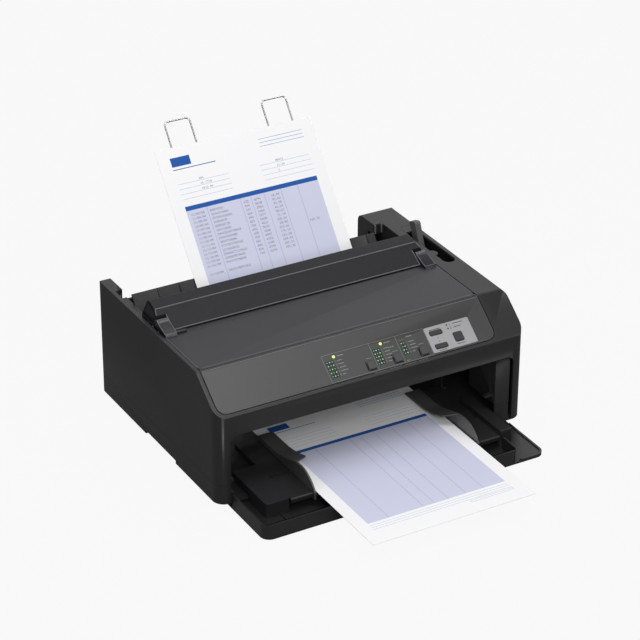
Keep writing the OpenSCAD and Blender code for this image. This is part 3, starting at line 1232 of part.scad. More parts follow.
place() lower_case();
place() upper_case();
place() feet();
place() case_screws();
place() control_panel();
place() key_plate();
place() indicator_lights();
place() panel_board();
place() key_left();
place() key_middle();
place() key_right();
place() key_feed();
place() key_load();
place() key_pause();
place() printer_cover();
place() rear_cover();
place() rear_cover_pins();
place() paper_guide();
place() wire_support_left();
place() wire_support_right();
place() release_lever();
place() thickness_lever();
place() platen();
place() platen_shaft();
place() platen_knob();
place() platen_gear();
place() idler_gear();
place() feed_motor();
place() motor_pinion();
place() transfer_gear();
place() tractor_gear();
place() tractor_shaft();
place() tractor_rail();
place() tractor_left();
place() tractor_right();
place() side_frame_left();
place() side_frame_right();
place() guide_shaft();
place() front_rail();
place() carriage();
place() print_head();
place() drive_belt();
place() drive_pulley();
place() idler_pulley();
place() carriage_motor();
place() ribbon_cartridge();
place() ribbon();
place() ribbon_knob();
place() pressure_rollers();
place() paper_pan();
place() circuit_board();
place() power_supply();
place() rear_ports();
place() power_inlet();
place() front_tray();
place() sheet_table();
place() edge_guide_left();
place() edge_guide_right();
place() rear_sheet();
place() front_sheet();
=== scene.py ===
import json
import math
import random

import bmesh
import bpy
from mathutils import Matrix, Vector


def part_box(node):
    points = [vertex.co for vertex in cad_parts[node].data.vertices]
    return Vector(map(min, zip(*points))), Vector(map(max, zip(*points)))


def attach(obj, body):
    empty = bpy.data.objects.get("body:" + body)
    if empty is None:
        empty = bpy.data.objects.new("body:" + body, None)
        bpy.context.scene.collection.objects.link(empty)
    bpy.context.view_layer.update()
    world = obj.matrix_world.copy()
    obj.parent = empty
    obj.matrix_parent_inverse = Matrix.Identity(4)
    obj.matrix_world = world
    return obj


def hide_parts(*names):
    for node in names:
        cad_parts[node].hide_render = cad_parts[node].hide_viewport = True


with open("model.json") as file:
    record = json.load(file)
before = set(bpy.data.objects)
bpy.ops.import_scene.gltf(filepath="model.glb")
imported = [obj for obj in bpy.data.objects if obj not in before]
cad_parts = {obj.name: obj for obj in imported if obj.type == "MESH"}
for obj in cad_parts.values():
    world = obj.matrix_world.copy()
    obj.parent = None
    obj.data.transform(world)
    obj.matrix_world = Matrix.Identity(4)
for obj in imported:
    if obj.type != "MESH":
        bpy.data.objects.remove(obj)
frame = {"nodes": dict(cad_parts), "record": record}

bl_info = {
    "name": "Dot matrix printer",
    "version": (1, 0, 0),
    "blender": (4, 5, 0),
    "location": "3D View > Sidebar > Printer",
    "description": "Dresses a desktop dot matrix printer with its finishes, printed sheets and panel marks",
    "category": "Object",
}

MM = 0.001
UNLIT_FROM = 40.0        # millimetres across the panel: indicators right of it are off
LAMP_OFF = (96, (0.94, 1.0, 0.9))                # level and tint of an unlit indicator
NODES = frame["nodes"]
LOW, HIGH = (Vector(corner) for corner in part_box("lower_case"))
CENTRE_X = (LOW.x + HIGH.x) / 2
FRONT_Y = LOW.y


def at(x, y, z):
    """A place given in millimetres from the middle of the case's front face, on the table."""
    return Vector((CENTRE_X + x * MM, FRONT_Y + y * MM, z * MM))


# ---------------------------------------------------------------- shader building


class Socket:
    """A shader output that can be used in an expression."""

    def __init__(self, finish, out):
        self.finish, self.out = finish, out

    def maths(self, operation, first, second=0.0):
        return self.finish.node("ShaderNodeMath", {"operation": operation}, {0: first, 1: second})

    def __add__(self, other):
        return self.maths("ADD", self, other)

    def __mul__(self, other):
        return self.maths("MULTIPLY", self, other)

    def __gt__(self, other):
        return self.maths("GREATER_THAN", self, other)


class Finish:
    """A material under construction, with its Principled shader."""

    def __init__(self, name, **constants):
        self.material = bpy.data.materials.new(name)
        self.material.use_nodes = True
        self.tree = self.material.node_tree
        self.tree.nodes.clear()
        self.shader = self.tree.nodes.new("ShaderNodeBsdfPrincipled")
        self.output = self.tree.nodes.new("ShaderNodeOutputMaterial")
        self.tree.links.new(self.shader.outputs[0], self.output.inputs["Surface"])
        for key, value in constants.items():
            self.set(key.replace("_", " ").title().replace("Ior", "IOR"), value)
        self.place = Socket(self, self.tree.nodes.new("ShaderNodeTexCoord").outputs["Object"])

    def set(self, name, value):
        self.plug(self.shader.inputs[name], value)

    def plug(self, socket, value):
        if isinstance(value, Socket):
            self.tree.links.new(value.out, socket)
        elif isinstance(value, (tuple, list)) and len(value) == 3 and socket.type == "RGBA":
            socket.default_value = (*value, 1.0)
        else:
            socket.default_value = value

    def node(self, kind, settings=None, inputs=None, output=0):
        made = self.tree.nodes.new(kind)
        for key, value in (settings or {}).items():
            setattr(made, key, value)
        for key, value in (inputs or {}).items():
            self.plug(made.inputs[key], value)
        return Socket(self, made.outputs[output])

    def noise(self, scale, detail=2.0, where=None):
        return self.node("ShaderNodeTexNoise", {}, {
            "Vector": where or self.place, "Scale": scale, "Detail": detail})

    def stretched(self, x, y, z):
        return self.node("ShaderNodeMapping", {}, {"Vector": self.place, "Scale": (x, y, z)})

    def mix(self, factor, first, second):
        made = self.tree.nodes.new("ShaderNodeMix")
        made.data_type = "RGBA"
        self.plug(made.inputs["Factor"], factor)
        self.plug(made.inputs[6], first)
        self.plug(made.inputs[7], second)
        return Socket(self, made.outputs[2])

    def bump(self, height, strength, distance=0.0002):
        self.set("Normal", self.node("ShaderNodeBump", {}, {
            "Height": height, "Strength": strength, "Distance": distance}))


def shade(level, tint=(1.0, 1.0, 1.0)):
    """A colour given as it looks on a screen, 0 to 255, turned to the linear values that shaders use."""
    def linear(v):
        v = min(v / 255.0, 1.0)
        return v / 12.92 if v <= 0.04045 else ((v + 0.055) / 1.055) ** 2.4
    return tuple(linear(level * t) for t in tint)


def scaled(colour, factor):
    """A linear colour made darker or lighter, held at white."""
    return tuple(min(c * factor, 1) for c in colour)


# ---------------------------------------------------------------- finishes


def painted(name, look):
    """A moulded plastic: clouded colour, fine moulded grain and slightly uneven gloss."""
    colour, roughness, grain, size, gloss = look
    finish = Finish(name, roughness=roughness, specular_ior_level=gloss)
    cloud = finish.noise(16.0, 3.0)
    speckle = finish.noise(size, 2.0)
    finish.set("Base Color", finish.mix(cloud, scaled(colour, 0.92), scaled(colour, 1.08)))
    finish.set("Roughness", cloud * 0.1 + speckle * 0.1 + (roughness - 0.1))
    if grain:
        finish.bump(speckle, grain, 0.00012)
    return finish.material


def metallic(name, look):
    """A plain metal with faint streaks along its working direction."""
    colour, roughness, along = look
    finish = Finish(name, metallic=1.0, roughness=roughness)
    streak = finish.noise(60.0, 4.0, finish.stretched(*along))
    finish.set("Base Color", finish.mix(streak, scaled(colour, 0.86), scaled(colour, 1.1)))
    finish.set("Roughness", streak * 0.16 + (roughness - 0.08))
    return finish.material


def smoked(name, look):
    """The printer cover: a dark, nearly opaque sheet with a soft clear gloss and faint wipe marks."""
    colour, roughness = look
    finish = Finish(name, roughness=roughness, specular_ior_level=0.34, coat_weight=0.06, coat_roughness=0.16)
    wipe = finish.noise(9.0, 5.0, finish.stretched(0.5, 2.5, 1))
    finish.set("Base Color", finish.mix(wipe, scaled(colour, 0.95), scaled(colour, 1.06)))
    finish.set("Roughness", wipe * 0.05 + (roughness - 0.025))
    finish.bump(finish.noise(2200.0, 1.0), 0.05, 0.0001)
    return finish.material


def spark_textured(name, look):
    """The rear cover: coarse spark texture with small glints on its high spots."""
    colour, roughness = look
    finish = Finish(name, roughness=roughness, specular_ior_level=0.27)
    grains = finish.node("ShaderNodeTexVoronoi", {}, {"Vector": finish.place, "Scale": 1250.0})
    cloud = finish.noise(700.0, 3.0)
    finish.set("Base Color", finish.mix(cloud, scaled(colour, 0.72), scaled(colour, 1.36)))
    finish.set("Roughness", cloud * 0.2 + (roughness - 0.1))
    finish.bump(grains + cloud, 0.55, 0.00022)
    return finish.material


def papery(name, look):
    """Uncoated paper with faint fibres."""
    colour, roughness = look
    finish = Finish(name, roughness=roughness)
    fibre = finish.noise(900.0, 4.0, finish.stretched(1, 0.4, 0.4))
    finish.set("Base Color", finish.mix(fibre, scaled(colour, 0.975), colour))
    finish.bump(fibre, 0.06, 0.0001)
    return finish.material


def glowing(name, look):
    """Indicators: the ones left of UNLIT_FROM are lit with a pale cloud, the others are unlit."""
    colour, strength = look
    finish = Finish(name, roughness=0.25, emission_strength=strength)
    parts = finish.node("ShaderNodeSeparateXYZ", {}, {0: finish.place})
    unlit = parts > at(UNLIT_FROM, 0, 0).x
    pale = finish.mix(finish.noise(900.0, 1.0), colour, tuple(min(c * 1.5 + 0.06, 1) for c in colour))
    finish.set("Emission Color", finish.mix(unlit, pale, (0.0, 0.0, 0.0)))
    finish.set("Base Color", finish.mix(unlit, colour, shade(*LAMP_OFF)))
    return finish.material


# How each finish is made and its settings. Every slot of the record has one; the rest are for pieces made here.
LOOKS = {
    "case_plastic": (painted, (shade(35, (1, 1, 1.01)), 0.4, 0.3, 1500.0, 0.36)),
    "case_dark": (painted, (shade(34, (1, 1, 1.02)), 0.34, 0.12, 1500.0, 0.36)),
    "panel_plastic": (painted, (shade(53, (1, 1, 1.01)), 0.4, 0.25, 1500.0, 0.52)),
    "plate_silver": (painted, (shade(150, (1, 1, 1.01)), 0.4, 0.1, 1800.0, 0.4)),
    "key_grey": (painted, (shade(62, (1, 1, 1.01)), 0.42, 0.1, 1500.0, 0.4)),
    "key_dark": (painted, (shade(48, (1, 1, 1.02)), 0.4, 0.1, 1500.0, 0.4)),
    "lamp": (glowing, (shade(222, (0.86, 1.0, 0.56)), 0.42)),
    "board": (painted, (shade(84, (0.5, 1, 0.62)), 0.4, 0.1, 600.0, 0.5)),
    "cover_plastic": (smoked, (shade(31, (0.96, 0.94, 1.12)), 0.36)),
    "bar_plastic": (spark_textured, (shade(26, (1, 0.96, 1.12)), 0.56)),
    # Lighter than the plastics that it lies on, as painted highlight along rounded edges and ridges
    "bar_ridge": (painted, (shade(88, (1, 0.98, 1.05)), 0.34, 0.05, 1500.0, 0.6)),
    "clip_grey": (painted, (shade(104), 0.4, 0.1, 1500.0, 0.4)),
    # Lighter than the cover plastic, partly as painted highlight on the hinge barrels
    "hinge_grey": (painted, (shade(60, (1, 0.98, 1.05)), 0.3, 0.05, 1500.0, 0.6)),
    # Lighter than the tray plastic, as painted light on the edge guides
    "guide_grey": (painted, (shade(70), 0.34, 0.12, 1500.0, 0.5)),
    "inner_plastic": (painted, (shade(30), 0.5, 0.2, 1500.0, 0.3)),
    "wire_steel": (metallic, (shade(196), 0.24, (1, 1, 1))),
    "frame_steel": (metallic, (shade(150, (1, 1, 1.02)), 0.38, (1, 1, 14))),
    "shaft_steel": (metallic, (shade(205), 0.18, (1, 30, 30))),
    "platen_rubber": (painted, (shade(30), 0.7, 0.1, 1500.0, 0.3)),
    "gear_plastic": (painted, (shade(206, (1, 0.98, 0.93)), 0.45, 0.05, 900.0, 0.4)),
    "brass": (metallic, (shade(200, (1, 0.84, 0.5)), 0.3, (1, 1, 1))),
    "motor_can": (metallic, (shade(150), 0.35, (1, 1, 1))),
    "head_metal": (metallic, (shade(120), 0.45, (1, 1, 1))),
    "belt_rubber": (painted, (shade(26), 0.75, 0.3, 1500.0, 0.3)),
    "lever_blue": (painted, (shade(130, (0.42, 0.72, 1)), 0.4, 0.1, 1500.0, 0.4)),
    "lever_grey": (painted, (shade(84), 0.42, 0.15, 1500.0, 0.4)),
    "paper": (papery, (shade(236, (1, 1, 1.006)), 0.85)),
    "screw_steel": (metallic, (shade(130), 0.35, (1, 1, 1))),
    "form_blue": (papery, (shade(158, (0.04, 0.5, 1.0)), 0.8)),
    "form_tint": (papery, (shade(220, (0.895, 0.905, 1.0)), 0.85)),
    "form_line": (papery, (shade(196, (0.66, 0.74, 1.0)), 0.85)),
    "ink_grey": (papery, (shade(64, (0.98, 0.98, 1.1)), 0.85)),
    "mark_light": (painted, (shade(176), 0.5, 0.0, 1500.0, 0.3)),
    "mark_line": (painted, (shade(122), 0.5, 0.0, 1500.0, 0.3)),
    "mark_green": (painted, (shade(165, (0.5, 1.0, 0.55)), 0.4, 0.0, 1500.0, 0.3)),
    # Dark marks: print on the panel and plate, and painted shade beside the keys and on the panel's top
    "mark_dark": (painted, (shade(12), 0.5, 0.0, 1500.0, 0.12)),
}


def finish_of(name):
    """The finished material of that name, made when it is first asked for."""
    made = bpy.data.materials.get("finished_" + name)
    if made is None:
        build, look = LOOKS[name]
        made = build("finished_" + name, look)
    return made


# ---------------------------------------------------------------- making pieces


def piece(name, shape, body, slot, finish=None, smooth=35.0, bevel=0.0, segments=2):
    """Turns a bmesh into a piece that rides on a body. Bevel is the width of the rounding in millimetres."""
    mesh = bpy.data.meshes.new(name)
    shape.to_mesh(mesh)
    shape.free()
    for face in mesh.polygons:
        face.use_smooth = True
    mesh.set_sharp_from_angle(angle=math.radians(smooth))
    mesh.materials.append(finish_of(finish or slot))
    made = bpy.data.objects.new(name, mesh)
    bpy.context.scene.collection.objects.link(made)
    if bevel:
        rounding = made.modifiers.new("rounding", "BEVEL")
        rounding.width = bevel * MM
        rounding.segments = segments
        rounding.limit_method = "ANGLE"
        rounding.angle_limit = math.radians(40)
        rounding.harden_normals = True
        rounding.use_clamp_overlap = True
    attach(made, body)
    return made


BODY_OF = {node: body for body, nodes in frame["record"]["behaviour"]["bodies"].items() for node in nodes}
SLOT_OF = {part["node"]: part["material_slot"] for part in frame["record"]["subparts"]}


def draw_in(shape, step=0.5):
    """Moves the control panel's side and foot edges inwards, which opens the groove round it."""
    left, right, foot, r = PANEL_OUTLINE
    for vert in shape.verts:
        spot = (vert.co - PANEL.origin) / MM
        u, v = spot.dot(PANEL.across), spot.dot(PANEL.up)
        middle = Vector((min(max(u, left + r), right - r), max(v, foot + r)))
        away = Vector((u, v)) - middle
        if away.length > r - 0.3:
            away.normalize()
            vert.co -= (PANEL.across * away.x + PANEL.up * away.y) * step * MM


# Where the case's left edge runs, from the middle of the panel's plane at its foot, in millimetres
LEFT_FACE = -207.0
SLOPE_BAND_TO = -198.5           # the slope's band left of the panel ends here
TOP_OVER_PANEL_FOOT = 37.0
EDGE_BACK = 300.0
NEAR = 0.06


def round_left_edge(shape, width=2.2):
    """Gives the case's left top edge and its run down the slope the wider rounding that they have."""
    def lies(vert):
        spot = (vert.co - PANEL.origin) / MM
        on_slope = abs(spot.dot(PANEL.out)) < NEAR and spot.x < SLOPE_BAND_TO
        on_left = abs(spot.x - LEFT_FACE) < NEAR
        return on_slope or on_left and spot.z > TOP_OVER_PANEL_FOOT and spot.y < EDGE_BACK
    edges = [edge for edge in shape.edges if all(lies(vert) for vert in edge.verts)
             and edge.is_manifold and edge.calc_face_angle(0) > math.radians(41)]
    bmesh.ops.bevel(shape, geom=edges, offset=width * MM, offset_type="OFFSET", segments=5, profile=0.5,
                    affect="EDGES", material=-1, clamp_overlap=True)


def rounded_copy(node, bevel, finish=None):
    """A copy of a CAD node's mesh that stands for it: doubles merged, flat faces joined, edges rounded."""
    shape = bmesh.new()
    shape.from_mesh(NODES[node].data)
    bmesh.ops.remove_doubles(shape, verts=shape.verts, dist=0.000002)
    if node == "control_panel":
        draw_in(shape)
    if node == "upper_case":
        round_left_edge(shape)
    bmesh.ops.dissolve_limit(shape, angle_limit=math.radians(0.6), verts=shape.verts, edges=shape.edges,
                             use_dissolve_boundaries=False)
    made = piece(node + "_shell", shape, BODY_OF[node], SLOT_OF[node], finish, bevel=bevel)
    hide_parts(node)
    return made


class Surface:
    """A flat face to draw on: across, up and out of it, in millimetres from its origin."""

    def __init__(self, origin, lean):
        self.origin = origin
        tilt = math.radians(lean)
        self.across = Vector((1, 0, 0))
        self.up = Vector((0, math.cos(tilt), math.sin(tilt)))
        self.out = self.across.cross(self.up)

    def place(self, u, v, n=0.0, turn=0.0):
        """The matrix that carries a flat shape in millimetres to a place on the face."""
        grid = Matrix((self.across, self.up, self.out)).transposed().to_4x4()
        spot = self.origin + (self.across * u + self.up * v + self.out * n) * MM
        return Matrix.Translation(spot) @ grid @ Matrix.Rotation(turn, 4, "Z") @ Matrix.Scale(MM, 4)


PANEL = Surface(at(0, 0, 120.6), 37.8)
REAR_SHEET = Surface(at(4.5, 195.423, 83.739), 51.6)
FRONT_SHEET = Surface(at(4.5, -169.5, 21.0), 0.0)
SHEET_TOP = {"rear": 257.016, "front": 288.0}    # where each form's top edge lies, up its sheet
PANEL_OUTLINE = (-201.5, 169.0, 5.5, 12.0)       # left, right, foot, corner radius


def slab(shape, face, u0, v0, u1, v1, n=0.0, thick=0.03):
    """A thin flat rectangle on a face."""
    middle = face.place((u0 + u1) / 2, (v0 + v1) / 2, n + thick / 2)
    bmesh.ops.create_cube(shape, size=1.0, matrix=middle @ Matrix.Diagonal((u1 - u0, v1 - v0, thick, 1)))


def disc(shape, face, u, v, radius, n=0.0, thick=0.04, sides=12):
    """A thin round dot on a face."""
    bmesh.ops.create_cone(shape, cap_ends=True, segments=sides, radius1=radius, radius2=radius, depth=thick,
                          matrix=face.place(u, v, n + thick / 2))


def triangle(shape, face, u, v, size, turn, n=0.0, thick=0.04):
    """A thin triangle on a face, its corners at that distance from its middle."""
    bmesh.ops.create_cone(shape, cap_ends=True, segments=3, radius1=size, radius2=size, depth=thick,
                          matrix=face.place(u, v, n + thick / 2, turn))


def rod(shape, start, end, radius, sides=14):
    """A round rod between two places in millimetres."""
    a, b = at(*start), at(*end)
    turn = (b - a).to_track_quat("Z", "Y").to_matrix().to_4x4()
    bmesh.ops.create_cone(shape, cap_ends=True, segments=sides, radius1=radius * MM, radius2=radius * MM,
                          depth=(b - a).length, matrix=Matrix.Translation((a + b) / 2) @ turn)


def block(shape, x0, y0, z0, x1, y1, z1):
    """A box between two corners in millimetres."""
    middle = Matrix.Translation(at((x0 + x1) / 2, (y0 + y1) / 2, (z0 + z1) / 2))
    extent = Matrix.Diagonal(((x1 - x0) * MM, (y1 - y0) * MM, (z1 - z0) * MM, 1))
    bmesh.ops.create_cube(shape, size=1.0, matrix=middle @ extent)


def thickened(shape, rim, shift):
    """A flat outline, given as places in millimetres, made as thick as the shift along x."""
    face = bmesh.ops.contextual_create(shape, geom=[shape.verts.new(at(*spot)) for spot in rim])["faces"][0]
    moved = bmesh.ops.extrude_face_region(shape, geom=[face])["geom"]
    bmesh.ops.translate(shape, vec=(shift * MM, 0, 0),
                        verts=[part for part in moved if isinstance(part, bmesh.types.BMVert)])
    bmesh.ops.recalc_face_normals(shape, faces=shape.faces)


def outline(shape, face, u0, v0, u1, v1, width, n=0.0):
    """Four thin lines round a rectangle, meeting at its corners."""
    for a, b, c, d in ((u0, v0, u1, v0 + width), (u0, v1 - width, u1, v1),
                       (u0, v0 + width, u0 + width, v1 - width), (u1 - width, v0 + width, u1, v1 - width)):
        slab(shape, face, a, b, c, d, n)


# Figures of five by seven dots, row by row from the top
FIGURES = {
    "0": "01110 10001 10011 10101 11001 10001 01110", "1": "00100 01100 00100 00100 00100 00100 01110",
    "2": "01110 10001 00001 00110 01000 10000 11111", "3": "01110 10001 00001 00110 00001 10001 01110",
    "4": "00010 00110 01010 10010 11111 00010 00010", "5": "11111 10000 11110 00001 00001 10001 01110",
    "6": "00110 01000 10000 11110 10001 10001 01110", "7": "11111 00001 00010 00100 01000 01000 01000",
    "8": "01110 10001 10001 01110 10001 10001 01110", "9": "01110 10001 10001 01111 00001 00010 01100",
    ".": "00000 00000 00000 00000 00000 01100 01100", "-": "00000 00000 00000 01110 00000 00000 00000",
    "/": "00001 00001 00010 00100 01000 10000 10000",
}


def figure_meshes(thick):
    """One small mesh per figure, a unit high, of square dots."""
    made = {}
    for sign, rows in FIGURES.items():
        shape = bmesh.new()
        for j, row in enumerate(rows.split()):
            for i, dot in enumerate(row):
                if dot == "1":
                    local = Matrix.Translation(((i + 0.5) / 7, (6.5 - j) / 7, thick / 2)) @ Matrix.Diagonal(
                        (0.125, 0.125, thick, 1))
                    bmesh.ops.create_cube(shape, size=1.0, matrix=local)
        mesh = bpy.data.meshes.new("figure")
        shape.to_mesh(mesh)
        shape.free()
        made[sign] = mesh
    return made


def write(shape, figures, face, text, u, v, height, n=0.0):
    """Figures on a face, the first one's lower left corner at u, v."""
    for i, sign in enumerate(text):
        if sign in figures:
            move = face.place(u + i * height * 0.86, v, n) @ Matrix.Diagonal((height, height, 1, 1))
            figures[sign].transform(move)
            shape.from_mesh(figures[sign])
            figures[sign].transform(move.inverted())


def drop(figures):
    """Takes the figures' own meshes away once they have been written."""
    for mesh in figures.values():
        bpy.data.meshes.remove(mesh)


# ---------------------------------------------------------------- printed sheets

BAND = (-80.0, -74.4)            # low and high edge, from the sheet's top edge
COLUMNS = (-63.7, -17.9, -3.5, 15.2, 38.7, 62.3)
TABLE_HALF = 91.5
TABLE_END = -248.6               # from the sheet's top edge
FIRST_ROW = 7.0                  # below the band
ROW_PITCH = 5.1
EMPTY_ROW = 14
TABLE_FIGURE = 2.7
HEAD_FIGURE = 2.6
HEAD_FIRST = 45.0                # the first account line, below the sheet's top edge
HEAD_PITCH = 6.4
HEAD_TEXTS = ((-62, ("204", "18 7730", "4412 09")), (44, ("00472", "11-24", "3")))
ON_PAPER = 0.01                  # how far a print lies off the sheet
ON_TINT = 0.035                  # and off the sheet where the tint is
TINT_THICK = 0.02


def letterhead(band, line, face, top):
    """A bar and rules where a name and an address would stand, and rules for the account's lines."""
    slab(band, face, -TABLE_HALF, top - 24.0, -TABLE_HALF + 26, top - 12.5, ON_PAPER)
    slab(band, face, -TABLE_HALF, top - 28.2, -34, top - 27.2, ON_PAPER)
    for i in range(3):
        v = top - 14.0 - i * 4.6
        slab(line, face, 30, v, TABLE_HALF, v + 0.6, ON_PAPER)
    for i in range(4):
        v = top - HEAD_FIRST - 1.3 - i * HEAD_PITCH
        slab(line, face, -TABLE_HALF, v, -22, v + 0.3, ON_PAPER)
        slab(line, face, 22, v, TABLE_HALF, v + 0.3, ON_PAPER)


def table_rows(ink, figures, face, top, lowest, rows, draw):
    """Rows of dates and numbers. Rows before the empty one have amounts too, and each ninth row a sum."""
    def cell(text, u):
        write(ink, figures, face, text, u, v, TABLE_FIGURE, ON_TINT)
    for i in range(rows):
        v = top + BAND[0] - FIRST_ROW - i * ROW_PITCH
        if i == EMPTY_ROW or v < lowest + 3:
            continue
        cell("%02d/%02d/%02d" % (11, 3 + i, 4), -TABLE_HALF + 5)
        cell("%d" % draw.randrange(10 ** 5, 10 ** draw.randrange(7, 15)), -61)
        if i < EMPTY_ROW:
            cell("%03d" % draw.randrange(1000), -14.5)
            cell("%04d" % draw.randrange(10000), 0)
            cell(("%.2f" % draw.uniform(1, 240)).rjust(7), 19)
        if i % 9 == 8:
            cell(("%.2f" % draw.uniform(90, 700)).rjust(6), 64.5)


def form_foot(line, face, lowest):
    """Rules and a box under the table."""
    for i in range(3):
        v = lowest - 5.0 - i * 4.2
        slab(line, face, -TABLE_HALF, v, TABLE_HALF, v + 0.3, ON_PAPER)
    outline(line, face, 34, lowest - 19.0, TABLE_HALF, lowest - 15.6, 0.3, ON_PAPER)


def printed_form(name, face, top, first_hidden, rows):
    """Prints a plain account form on a sheet: a blue band, a tinted table with columns, rules and figures."""
    draw = random.Random(name)
    lowest = top + TABLE_END if first_hidden is None else first_hidden
    tint, band, line, ink = (bmesh.new() for _ in range(4))
    slab(tint, face, -TABLE_HALF, lowest, TABLE_HALF, top + BAND[0], ON_PAPER, TINT_THICK)
    slab(band, face, -TABLE_HALF, top + BAND[0], TABLE_HALF, top + BAND[1], ON_PAPER)
    for u in COLUMNS:
        slab(line, face, u - 0.2, lowest, u + 0.2, top + BAND[0] - 0.2, ON_TINT, TINT_THICK)
    letterhead(band, line, face, top)
    figures = figure_meshes(0.03)
    if rows:
        for u, texts in HEAD_TEXTS:
            for i, text in enumerate(texts):
                write(ink, figures, face, text, u, top - HEAD_FIRST - i * HEAD_PITCH, HEAD_FIGURE, ON_PAPER)
    table_rows(ink, figures, face, top, lowest, rows, draw)
    if first_hidden is None:
        form_foot(line, face, lowest)
    drop(figures)
    for part, shape, finish in (("tint", tint, "form_tint"), ("band", band, "form_blue"),
                                ("rules", line, "form_line"), ("figures", ink, "ink_grey")):
        if shape.verts:
            piece(name + "_" + part, shape, "case", "paper", finish)
        else:
            shape.free()


# ---------------------------------------------------------------- control panel


ON_PANEL = 0.005                 # how far a print lies off the panel
ON_FIELD = 0.035                 # and off the panel where a dark field is
ON_PLATE = 0.35                  # and off the panel where the silver plate is
SELECT_KEYS = (1.0, 36.5, 72.0)  # the tall keys' middles
# Left column, pitch, columns, top row, lowest row and rows of each table of dots
DOT_TABLES = ((-51.0, 3.4, 3, 32.1, 14.4, 5), (11.0, 3.2, 3, 31.2, 14.5, 5), (48.2, 3.2, 2, 30.9, 18.2, 4))


def mark(shape, u0, v0, u1, v1, n=ON_PANEL):
    """A thin rectangle on the panel: print, or painted shadow."""
    slab(shape, PANEL, u0, v0, u1, v1, n)


def dot_tables(line, light, green, dark, figures):
    """Tables of dots, each row in its own dark field, with a figure and a bar beside it."""
    for left, pitch, columns, top, low, rows in DOT_TABLES:
        right = left + (columns - 1) * pitch
        for j in range(rows):
            v = low + j * (top - low) / (rows - 1)
            mark(dark, left - 1.6, v - 1.7, right + 1.6, v + 1.7)
            for i in range(columns):
                disc(light if (i + j) % 2 else green, PANEL, left + i * pitch, v, 0.95, ON_FIELD)
            write(line, figures, PANEL, str(rows - j), right + 3.0, v - 1.3, 2.6, ON_PANEL)
            mark(line, right + 6.4, v - 0.5, right + 10.5 + (j * 5) % 6, v + 0.5)


def key_marks(line, dark):
    """Painted shadow fields beside and under the select keys, with rules and ticks under them."""
    for u in SELECT_KEYS:
        mark(dark, u - 6.9, 8.9, u - 5.6, 20.6)
        mark(dark, u - 5.6, 8.6, u + 5.4, 9.5)
        mark(line, u - 3.6, 24.0, u + 3.6, 24.6)
        mark(line, u - 0.15, 4.9, u + 0.15, 6.4)
    for u0, u1 in ((1.0, 17.0), (20.0, 36.5), (41.0, 56.0), (59.0, 72.0)):
        mark(line, u0, 4.6, u1, 4.9)


def plate_marks(dark, figures):
    """Arrows, dots, figures and bars on the silver plate."""
    triangle(dark, PANEL, 96.0, 25.6, 0.9, math.radians(90), ON_PLATE)
    triangle(dark, PANEL, 96.0, 21.2, 0.9, math.radians(-90), ON_PLATE)
    mark(dark, 88.6, 36.5, 103.4, 37.2, ON_PLATE)
    mark(dark, 91.0, 9.5, 101.0, 10.1, ON_PLATE)
    for i, v in enumerate((35.4, 30.8)):
        disc(dark, PANEL, 113.4, v + 2.6, 1.0, ON_PLATE)
        write(dark, figures, PANEL, str(i + 1), 116.2, v + 1.2, 2.9, ON_PLATE)
        mark(dark, 120.6, v + 2.2, 135.0 - i * 4, v + 2.9, ON_PLATE)
    mark(dark, 116.5, 11.4, 127.5, 12.0, ON_PLATE)


def panel_marks():
    """Thin printed lines, figures, dots and arrows on the control panel, with no words, and painted shadows
    beside and under the select keys.
    """
    line, light, green, dark = (bmesh.new() for _ in range(4))
    figures = figure_meshes(0.04)
    outline(line, PANEL, -55.0, 7.0, 82.0, 42.0, 0.35, ON_PANEL)
    for u in (8.0, 43.5):
        mark(line, u - 0.2, 7.4, u + 0.2, 41.6)
    dot_tables(line, light, green, dark, figures)
    for i in range(3):
        disc(green, PANEL, 31.0 + i * 2.6, 30.5, 0.75, ON_PANEL)
    for u in (46.9, 49.3):
        disc(green, PANEL, u, 8.9, 0.7, ON_PANEL)
    for u in (-35.5, 27.0, 57.0):
        mark(line, u, 37.0, u + 8.0, 38.1)
    key_marks(line, dark)
    plate_marks(dark, figures)
    drop(figures)
    for name, shape, finish in (
            ("panel_lines", line, "mark_line"), ("panel_light_dots", light, "mark_light"),
            ("panel_green_dots", green, "mark_green"), ("panel_dark_print_and_shade", dark, "mark_dark")):
        piece(name, shape, "case", "panel_plastic", finish)


# ---------------------------------------------------------------- small fittings


CREST = (177, 176.8)             # y and z of the rear cover's crest
LIP = (149.1, 160.9)             # and of its front lip
END_OUTLINE = ((169.2, 163.8), (169.2, 172.2), (177, 176.6), (194, 179.6), (197.3, 177.6), (198.3, 163.8))
END_FOOT_Z, END_RISE = 163.5, 17.5
HINGE_ARMS = (-200.5, 151.0)     # left side of each hinge arm of the printer cover
ARM_WIDE = 15.0
HINGE_PIN = (162.5, 165.0)       # y and z
BARREL_RADIUS = 5.7
ARM_LOW, ARM_HIGH = (139.4, 162.4), (158.6, 168.6)
EDGE_IN = 0.4                    # how far the rods that paint an arm's edge highlights lie inside its sides
RIM_Z = 159.3
SHOULDER = (52.848, 154.0)       # middle of the rounding between the slope and the top, y and z
SHADE_TURNS = (123, 115, 107, 99, 91)              # degrees round the shoulder
SHADE_BACK = 54.3
SHADE_LEFT, SHADE_RIGHT = -200.6, 168.0
BEAD = (48.9, 158.3)             # y and z
SLOT_END = (189, 242.1)          # middle of the release lever's slot at its back end, x and y
SLOT_RADIUS = 7.7
# Boxes as their lowest and highest corners
RAIL_BOX = (146.8, -43.4, 21.5, 163.4, 44.0, 27.2)
FLANGE_BOX = (-184.4, 149.2, 155.0, 150.1, 150.4, 160.8)
WING_BOXES = ((-200.7, 169.3, 151.0, -185.2, 170.5, 161.2), (150.7, 169.3, 151.0, 166.2, 170.5, 161.2))
HOUSING_BOX = (157.1, 270.4, 146.0, 169.6, 285.6, 159.98)
SLOT_BOX = (181.3, 233.0, 157.2, 196.7, 242.2, 159.96)
CLIP_BOXES = ((158.0, 268.4, 147.4, 159.7, 271.0, 159.6), (167.2, 268.4, 147.4, 168.9, 271.0, 159.6))


